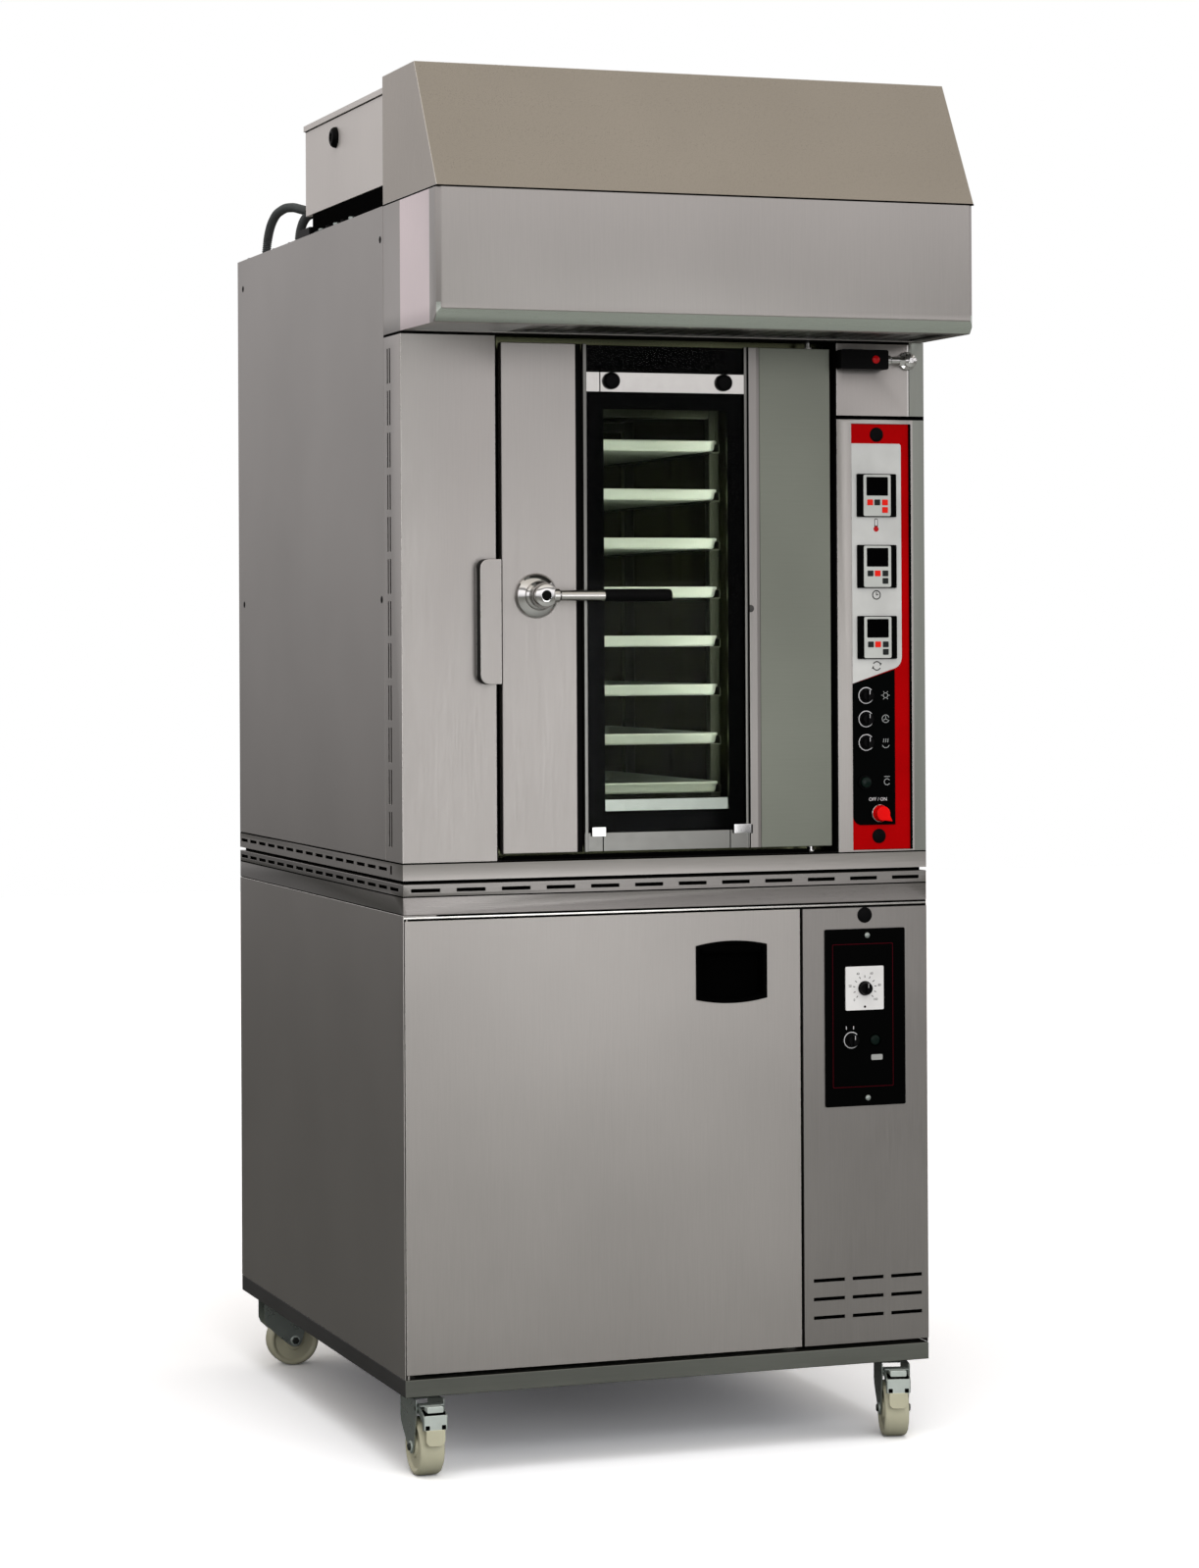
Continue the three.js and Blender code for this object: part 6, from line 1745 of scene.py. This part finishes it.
def ribbed_tree():
    """Geometry nodes: a curve becomes a ribbed tube whose radius follows a wave along its length."""
    name = "ribbed_tube"
    if name in bpy.data.node_groups:
        return bpy.data.node_groups[name]
    tree, entry = new_tree(name, ("Radius", "Float"), ("Rib", "Float"), ("Pitch", "Float"))
    nodes = tree.nodes
    finer, turn, angle, wave, height, total = (
        add(nodes, "ShaderNodeMath", operation=operation)
        for operation in ("DIVIDE", "DIVIDE", "MULTIPLY", "SINE", "MULTIPLY", "ADD")
    )
    finer.inputs[1].default_value = STATIONS_PER_RIB
    angle.inputs[1].default_value = 2 * math.pi
    resample = add(nodes, "GeometryNodeResampleCurve", mode="LENGTH")
    station = nodes.new("GeometryNodeSplineParameter")
    set_radius = nodes.new("GeometryNodeSetCurveRadius")
    ring = add(nodes, "GeometryNodeCurvePrimitiveCircle", {"Resolution": 20, "Radius": 1.0})
    skin = add(nodes, "GeometryNodeCurveToMesh", {"Fill Caps": True})
    wire(
        tree.links, (entry, "Pitch", finer, 0), (entry, "Geometry", resample, "Curve"),
        (finer, 0, resample, "Length"), (station, "Length", turn, 0), (entry, "Pitch", turn, 1),
        (turn, 0, angle, 0), (angle, 0, wave, 0), (wave, 0, height, 0), (entry, "Rib", height, 1),
        (height, 0, total, 0), (entry, "Radius", total, 1), (resample, "Curve", set_radius, "Curve"),
        (total, 0, set_radius, "Radius"), (set_radius, "Curve", skin, "Curve"),
        (ring, "Curve", skin, "Profile Curve"),
    )
    if "Scale" in skin.inputs:
        wire(tree.links, (nodes.new("GeometryNodeInputRadius"), "Radius", skin, "Scale"))
    return end_tree(tree, entry, skin, "Mesh")


class RACKOVEN_OT_conduit(bpy.types.Operator):
    """Two ribbed conduits from the extractor box over to the roof, with their nuts"""

    bl_idname = "rack_oven.conduit"
    bl_label = "Conduit"

    def execute(self, context):
        x0, x1, y0, _, _, _ = extent("conduit")
        x = (x0 + x1) / 2
        start = Vector((x, y0, EXTRACTOR[4] + 12))
        fall = ROOF_CLEARANCE - (start.z - ROOF[5])
        route = [start + Vector((0, y, max(z, fall))) for y, z in CONDUIT_ROUTE]
        self.hose("ribbed_conduit", route, "conduit")
        short = [start + Vector(step) for step in (*SHORT_ROUTE, (0, 98, fall))]
        self.hose("short_conduit", short, ())
        nuts = Form()
        nut = [(0, -2), (11.5, -2), (11.5, 10), (10, 12), (8.5, 12), (0, 12)]
        nuts.turned(nut, "y", tuple(start), "black_plastic", 6)
        for reach in (352, 98):
            nuts.turned([(0, 0), (13, 0), (13, 3), (11, 4), (11, 12), (9, 14), (0, 14)], "z",
                        (x, start.y + reach, ROOF[5]), "black_plastic", 24)
        nuts.piece("conduit_nuts")
        return {"FINISHED"}

    def hose(self, name, route, node):
        curve = bpy.data.curves.new(name, "CURVE")
        curve.dimensions = "3D"
        spline = curve.splines.new("BEZIER")
        spline.bezier_points.add(len(route) - 1)
        for point, place in zip(spline.bezier_points, route):
            point.co = place * MM
            point.handle_left_type = point.handle_right_type = "AUTO"
        carrier = linked(name, curve)
        line = bpy.data.meshes.new_from_object(carrier)
        bpy.data.meshes.remove(line)
        grow(carrier, ribbed_tree(), Radius=0.008, Rib=0.0011, Pitch=sizes().rib_pitch,
             Finish=finish("conduit_grey"))
        mesh = evaluated(carrier)
        bpy.data.objects.remove(carrier)
        piece = dress(name, mesh, [finish("conduit_grey")], CABINET, node)


# ---------------------------------------------------------------- chamber and rack

TRAY_COUNT = 8
TRAY_PITCH = 89.5
TRAY_HALF_WIDTH = 200
TRAY_HALF_LENGTH = 300
TRAY_DEPTH = 20
POST_REACH = 230


class RACKOVEN_OT_rack(bpy.types.Operator):
    """Rotating rack of square tube with runners, and its eight trays"""

    bl_idname = "rack_oven.rack"
    bl_label = "Rack and trays"

    def execute(self, context):
        _, _, y0, y1, z0, z1 = RACK
        centre_y = (y0 + y1) / 2
        floor = z0 + 12
        beam = floor + 11
        top = z1 - 84 - 28
        first = floor + 32
        tube_x = TRAY_HALF_WIDTH + 3
        # The rack is drawn near black, painted shade of the unlit chamber.
        form = Form()
        for sx in (-1, 1):
            low, high = sorted((sx * tube_x, sx * (tube_x + 20)))
            for sy in (-1, 1):
                y = centre_y + sy * POST_REACH
                form.box(low, high, y - 10, y + 10, beam, top, "steel_rack", 2.0, 3)
            for i in range(TRAY_COUNT):
                z = first + i * TRAY_PITCH
                inner, outer = sx * (tube_x - 20), sx * (tube_x + 0.4)
                wall = outer - sx * 1.5
                low, top_z = z - 1.5, z + 14
                runner = [(inner, low), (outer, low), (outer, top_z), (wall, top_z), (wall, z), (inner, z)]
                form.prism(runner, "y", centre_y - 294, centre_y + 294, "steel_rack", 0.3)
        for z in (beam, top - 20):
            for y in (centre_y - POST_REACH, centre_y + POST_REACH):
                form.box(-tube_x, tube_x, y - 10, y + 10, z, z + 18, "steel_rack", 1.6)
            form.box(-12, 12, centre_y - POST_REACH, centre_y + POST_REACH, z + 0.5, z + 17.5,
                     "steel_rack", 1.4)
        axis = (0, centre_y, 0)
        form.turned([
            (0, floor - 12), (8, floor - 12), (8, floor + 9), (26, floor + 9), (26, beam + 20),
            (0, beam + 20),
        ], "z", axis, "steel_rack", 40)
        form.turned([
            (0, top - 22), (28, top - 22), (28, top + 6), (12.5, top + 8), (12.5, z1), (0, z1),
        ], "z", axis, "steel_rack", 40)
        form.piece("rack_frame", "rack", "rack_with_trays", "aluminium")
        places = [(0, centre_y, first + 0.2 + i * TRAY_PITCH) for i in range(TRAY_COUNT)]
        scatter("trays", places, self.tray_mesh(), "tray_aluminium", body="rack")
        return {"FINISHED"}

    def tray_mesh(self):
        """A pressed tray with rounded corners, a flaring wall and a rolled rim."""
        rim = sizes().tray_rim / MM
        shape = bmesh.new()
        flare = 6
        profile = [
            (flare + 4, 0.0), (flare + 1, 0.6), (flare, 2.4), (rim + 0.6, TRAY_DEPTH - rim),
            (rim, TRAY_DEPTH - 0.4), (rim / 2, TRAY_DEPTH), (0.3, TRAY_DEPTH - 0.8), (0, TRAY_DEPTH - rim),
            (0.5, TRAY_DEPTH - 2 * rim), (1.6, TRAY_DEPTH - 2 * rim + 0.2), (2.2, TRAY_DEPTH - 2 * rim + 1.2),
        ]
        # The inside face runs up the wall and over the rim; the sheet's underside follows it back.
        inner = [(inset + 1.5, z + 1.2) for inset, z in profile[:3]]
        wall = [(profile[3][0] + 1.2, profile[3][1])]
        rings = []
        for inset, z in inner + wall + profile[4:] + [(flare - 1.2, 3)] + profile[:3][::-1]:
            width, length = TRAY_HALF_WIDTH - inset, TRAY_HALF_LENGTH - inset
            outline = rounded(-width, width, -length, length, max(4.0, 18 - inset), 6)
            rings.append([shape.verts.new((u, v, z)) for u, v in outline])
        for first, second in zip(rings, rings[1:]):
            bridge(shape, first, second)
        shape.faces.new(rings[0])
        shape.faces.new(rings[-1])
        return Form().take(shape, "tray_aluminium").plain("tray")


CHAMBER_THROAT = 265


class RACKOVEN_OT_chamber(bpy.types.Operator):
    """Baking chamber walls, baffle, fan, heater, drives and lamps"""

    bl_idname = "rack_oven.chamber"
    bl_label = "Baking chamber"

    def execute(self, context):
        # The chamber's walls and baffle are a dark, green-tinted steel, painted shade of the unlit inside.
        paint("steel_chamber", "chamber_left_wall", "chamber_right_wall", "chamber_floor", "chamber_ceiling",
              "chamber_back", "fan_baffle")
        paint("wool", "chamber_insulation")
        paint("steel_dark", "fan_motor", "rack_gearmotor", "heating_element")
        paint("tray_aluminium", "fan_impeller")
        self.fan_guard()
        self.lamp()
        return {"FINISHED"}

    def fan_guard(self):
        """Wire rings and spokes over the fan's suction hole."""
        fan = joint_place("fan_spin")
        y = extent("fan_baffle")[2] - 4
        form = Form()
        for radius in range(20, 150, 16):
            ring = [(fan.x + u, y, fan.z + v) for u, v in circle(0, 0, radius, 48)]
            form.tube(ring, 1.4, "steel_bright", 8, closed=True)
        for i in range(4):
            angle = math.pi * i / 4
            du, dv = 144 * math.cos(angle), 144 * math.sin(angle)
            ends = [(fan.x + side * du, y + 2.6, fan.z + side * dv) for side in (-1, 1)]
            form.tube(ends, 1.6, "steel_bright", 8)
        form.piece("fan_guard")

    def lamp(self):
        """Glass-covered lamps on both walls of the chamber's throat, beside the doorway."""
        form = Form()
        _, _, front, _, z0, z1 = extent("chamber_left_wall")
        y, mid = front + 70, (z0 + z1) / 2
        for side in (-1, 1):
            inside = side * CHAMBER_THROAT
            housing = sorted((inside - side * 0.2, inside - side * 5))
            lens = sorted((inside - side * 4, inside - side * 8))
            # The lamp housings use the rack's near-black steel, painted shade.
            form.prism(rounded(y - 22, y + 22, mid - 345, mid + 345, 8), "x", *housing, "steel_rack", 1)
            form.prism(rounded(y - 15, y + 15, mid - 335, mid + 335, 6), "x", *lens, "lamp_glow", 1.2)
        form.piece("chamber_lamps")


# ---------------------------------------------------------------- stage


CAMERA_PLACE = (-2.314, -6.618, 1.445)
CAMERA_TURN = (19.53, 0.34, -0.29)
FLOOR_REACH = 14
FLOOR_LIFT = (1.55, 2.1)
STUDIO_WALL = (
    (0.46, (0.16, 0.16, 0.16)),
    (0.50, (0.60, 0.585, 0.585)),
    (0.53, (0.86, 0.84, 0.84)),
    (0.58, (1.12, 1.08, 1.09)),
    (0.66, (1.20, 1.15, 1.14)),
    (0.69, (0.30, 0.29, 0.28)),
    (0.73, (0.30, 0.29, 0.28)),
    (0.76, (0.95, 0.90, 0.84)),
    (0.88, (0.72, 0.67, 0.60)),
)


class RACKOVEN_OT_stage(bpy.types.Operator):
    """Camera, lamps, world and floor"""

    bl_idname = "rack_oven.stage"
    bl_label = "Stage"

    def execute(self, context):
        self.camera(context)
        self.world(context)
        self.floor()
        self.lamps()
        context.scene.view_settings.view_transform = "Standard"
        return {"FINISHED"}

    def camera(self, context):
        """The photograph's camera, worked out from the body's corners and the wheels."""
        yaw, pitch, roll = (math.radians(a) for a in CAMERA_TURN)
        ahead = Vector((math.sin(yaw) * math.cos(pitch), math.cos(yaw) * math.cos(pitch), math.sin(pitch)))
        right = Vector((math.cos(yaw), -math.sin(yaw), 0))
        up = right.cross(ahead)
        level = right * math.cos(roll) + up * math.sin(roll)
        upright = up * math.cos(roll) - right * math.sin(roll)
        data = bpy.data.cameras.new("photograph")
        data.lens = 86.05
        data.sensor_width = 36
        data.shift_y = -0.1101
        data.clip_end = 60
        camera = linked("photograph", data)
        turn = Matrix((level, upright, -ahead)).transposed().to_4x4()
        camera.matrix_world = Matrix.Translation(CAMERA_PLACE) @ turn
        context.scene.camera = camera

    def world(self, context):
        """White for the eye; for light and shine a studio of soft walls with a dark gap under its ceiling."""
        world = bpy.data.worlds.new("studio")
        world.use_nodes = True
        nodes, links = world.node_tree.nodes, world.node_tree.links
        nodes.clear()
        place = nodes.new("ShaderNodeTexCoord")
        facing = add(nodes, "ShaderNodeVectorMath", operation="DOT_PRODUCT")
        facing.inputs[1].default_value = (-0.25, -0.97, 0)
        level = mapped(nodes, -0.9, 0.9, 0.62, 1.05)
        split = nodes.new("ShaderNodeSeparateXYZ")
        height = mapped(nodes, -1.0, 1.0)
        walls = nodes.new("ShaderNodeValToRGB")
        stops = walls.color_ramp.elements
        stops[0].position, stops[0].color = 0.0, (0.10, 0.10, 0.10, 1)
        stops[1].position, stops[1].color = 1.0, (0.62, 0.58, 0.52, 1)
        for position, colour in STUDIO_WALL:
            stops.new(position).color = (*colour, 1)
        studio = nodes.new("ShaderNodeBackground")
        plain = add(nodes, "ShaderNodeBackground", {"Color": (1, 1, 1, 1)})
        path = nodes.new("ShaderNodeLightPath")
        seen = add(nodes, "ShaderNodeMath", operation="MAXIMUM")
        mix = nodes.new("ShaderNodeMixShader")
        wire(
            links, (place, "Generated", facing, 0), (facing, "Value", level, "Value"),
            (place, "Generated", split, "Vector"), (split, "Z", height, "Value"),
            (height, "Result", walls, "Fac"), (walls, "Color", studio, "Color"),
            (level, "Result", studio, "Strength"), (path, "Is Camera Ray", seen, 0),
            (path, "Is Transmission Ray", seen, 1), (seen, 0, mix, "Fac"), (studio, "Background", mix, 1),
            (plain, "Background", mix, 2), (mix, "Shader", nodes.new("ShaderNodeOutputWorld"), "Surface"),
        )
        context.scene.world = world

    def floor(self):
        """White to the eye; for light and shine it is pale in front and painted dark behind the oven, a
        painted shade.
        """
        mesh = bpy.data.meshes.new("floor")
        corners = [(-1, -1), (1, -1), (1, 1), (-1, 1)]
        mesh.from_pydata([(x * FLOOR_REACH, y * FLOOR_REACH, 0) for x, y in corners], [], [(0, 1, 2, 3)])
        floor = linked("floor", mesh)
        material, nodes, links, shader = new_material("floor_paint")
        nodes.remove(shader)
        paper = nodes.new("ShaderNodeBsdfDiffuse")
        tint = tuple(colours().floor)
        cloudy = ramp(nodes, links, object_noise(nodes, links, 0.7, 2.0), shade(tint, 0.99), tint)
        bright = add(nodes, "ShaderNodeMix", data_type="RGBA", blend_type="MULTIPLY", clamp_result=False)
        bright.inputs["Factor"].default_value = 1.0
        lift = mapped(nodes, 0.6, 5.0, *FLOOR_LIFT)
        place = nodes.new("ShaderNodeTexCoord")
        split = nodes.new("ShaderNodeSeparateXYZ")
        depth = mapped(nodes, -1.4, 0.2)
        floor_shade = add(nodes, "ShaderNodeMix", data_type="RGBA")
        floor_shade.inputs["A"].default_value = (0.32, 0.33, 0.32, 1)
        floor_shade.inputs["B"].default_value = (0.10, 0.105, 0.10, 1)
        path = nodes.new("ShaderNodeLightPath")
        seen = add(nodes, "ShaderNodeMix", data_type="RGBA", clamp_result=False)
        links.new(cloudy, bright.inputs["A"])
        wire(
            links, (place, "Object", split, "Vector"), (split, "Y", depth, "Value"),
            (split, "Y", lift, "Value"), (lift, "Result", bright, "B"), (depth, "Result", floor_shade, "Factor"),
            (path, "Is Camera Ray", seen, "Factor"), (floor_shade, "Result", seen, "A"),
            (bright, "Result", seen, "B"),
            (seen, "Result", paper, "Color"), (paper, "BSDF", nodes["Material Output"], "Surface"),
        )
        mesh.materials.append(material)

    def lamps(self):
        """Soft lights that show in no sheet metal, and a low window in front that does."""
        for name, place, aim, size, power, shines in (
            ("key", (-0.6, -4.6, 2.3), (-0.6, 0, 1.7), 2.4, 60, False),
            ("window", (1.1, -4.6, 1.0), (1.1, 0, 1.0), 1.2, 9, True),
            ("fill", (3.8, -3.2, 2.6), (0, 0, 1.0), 3.0, 14, False),
            ("top", (-0.4, -0.9, 4.9), (0, 0.1, 0), 3.4, 90, False),
        ):
            self.lamp(name, place, aim, size, power).visible_glossy = shines

    def lamp(self, name, place, aim, size, power):
        """A square soft box."""
        data = bpy.data.lights.new(name, "AREA")
        data.size = size
        data.energy = power
        lamp = linked(name, data)
        lamp.location = place
        lamp.rotation_euler = (Vector(aim) - Vector(place)).to_track_quat("-Z", "Y").to_euler()
        lamp.visible_camera = False
        return lamp


# ---------------------------------------------------------------- panel and registration

OPERATORS = (
    RACKOVEN_OT_stage,
    RACKOVEN_OT_base,
    RACKOVEN_OT_prover,
    RACKOVEN_OT_prover_door,
    RACKOVEN_OT_prover_controls,
    RACKOVEN_OT_casing,
    RACKOVEN_OT_door,
    RACKOVEN_OT_lever,
    RACKOVEN_OT_column,
    RACKOVEN_OT_damper,
    RACKOVEN_OT_hood,
    RACKOVEN_OT_conduit,
    RACKOVEN_OT_rack,
    RACKOVEN_OT_chamber,
)


class RACKOVEN_PT_panel(bpy.types.Panel):
    """Lists the settings and the pieces"""

    bl_idname = "RACKOVEN_PT_panel"
    bl_label = "Rack oven"
    bl_space_type = "VIEW_3D"
    bl_region_type = "UI"
    bl_category = "Rack Oven"

    def draw(self, context):
        layout = self.layout
        for settings in (context.scene.rack_oven_sizes, context.scene.rack_oven_colours):
            box = layout.box()
            for name in settings.bl_rna.properties.keys():
                if name not in ("rna_type", "name"):
                    box.prop(settings, name)
        for operator in OPERATORS:
            layout.operator(operator.bl_idname)


CLASSES = (RackOvenSizes, RackOvenColours, *OPERATORS, RACKOVEN_PT_panel)


def register():
    for cls in CLASSES:
        bpy.utils.register_class(cls)
    bpy.types.Scene.rack_oven_sizes = bpy.props.PointerProperty(type=RackOvenSizes)
    bpy.types.Scene.rack_oven_colours = bpy.props.PointerProperty(type=RackOvenColours)


def unregister():
    del bpy.types.Scene.rack_oven_colours
    del bpy.types.Scene.rack_oven_sizes
    for cls in reversed(CLASSES):
        bpy.utils.unregister_class(cls)


def main():
    register()
    for operator in OPERATORS:
        group, name = operator.bl_idname.split(".")
        getattr(getattr(bpy.ops, group), name)()
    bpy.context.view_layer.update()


if __name__ == "__main__":
    main()
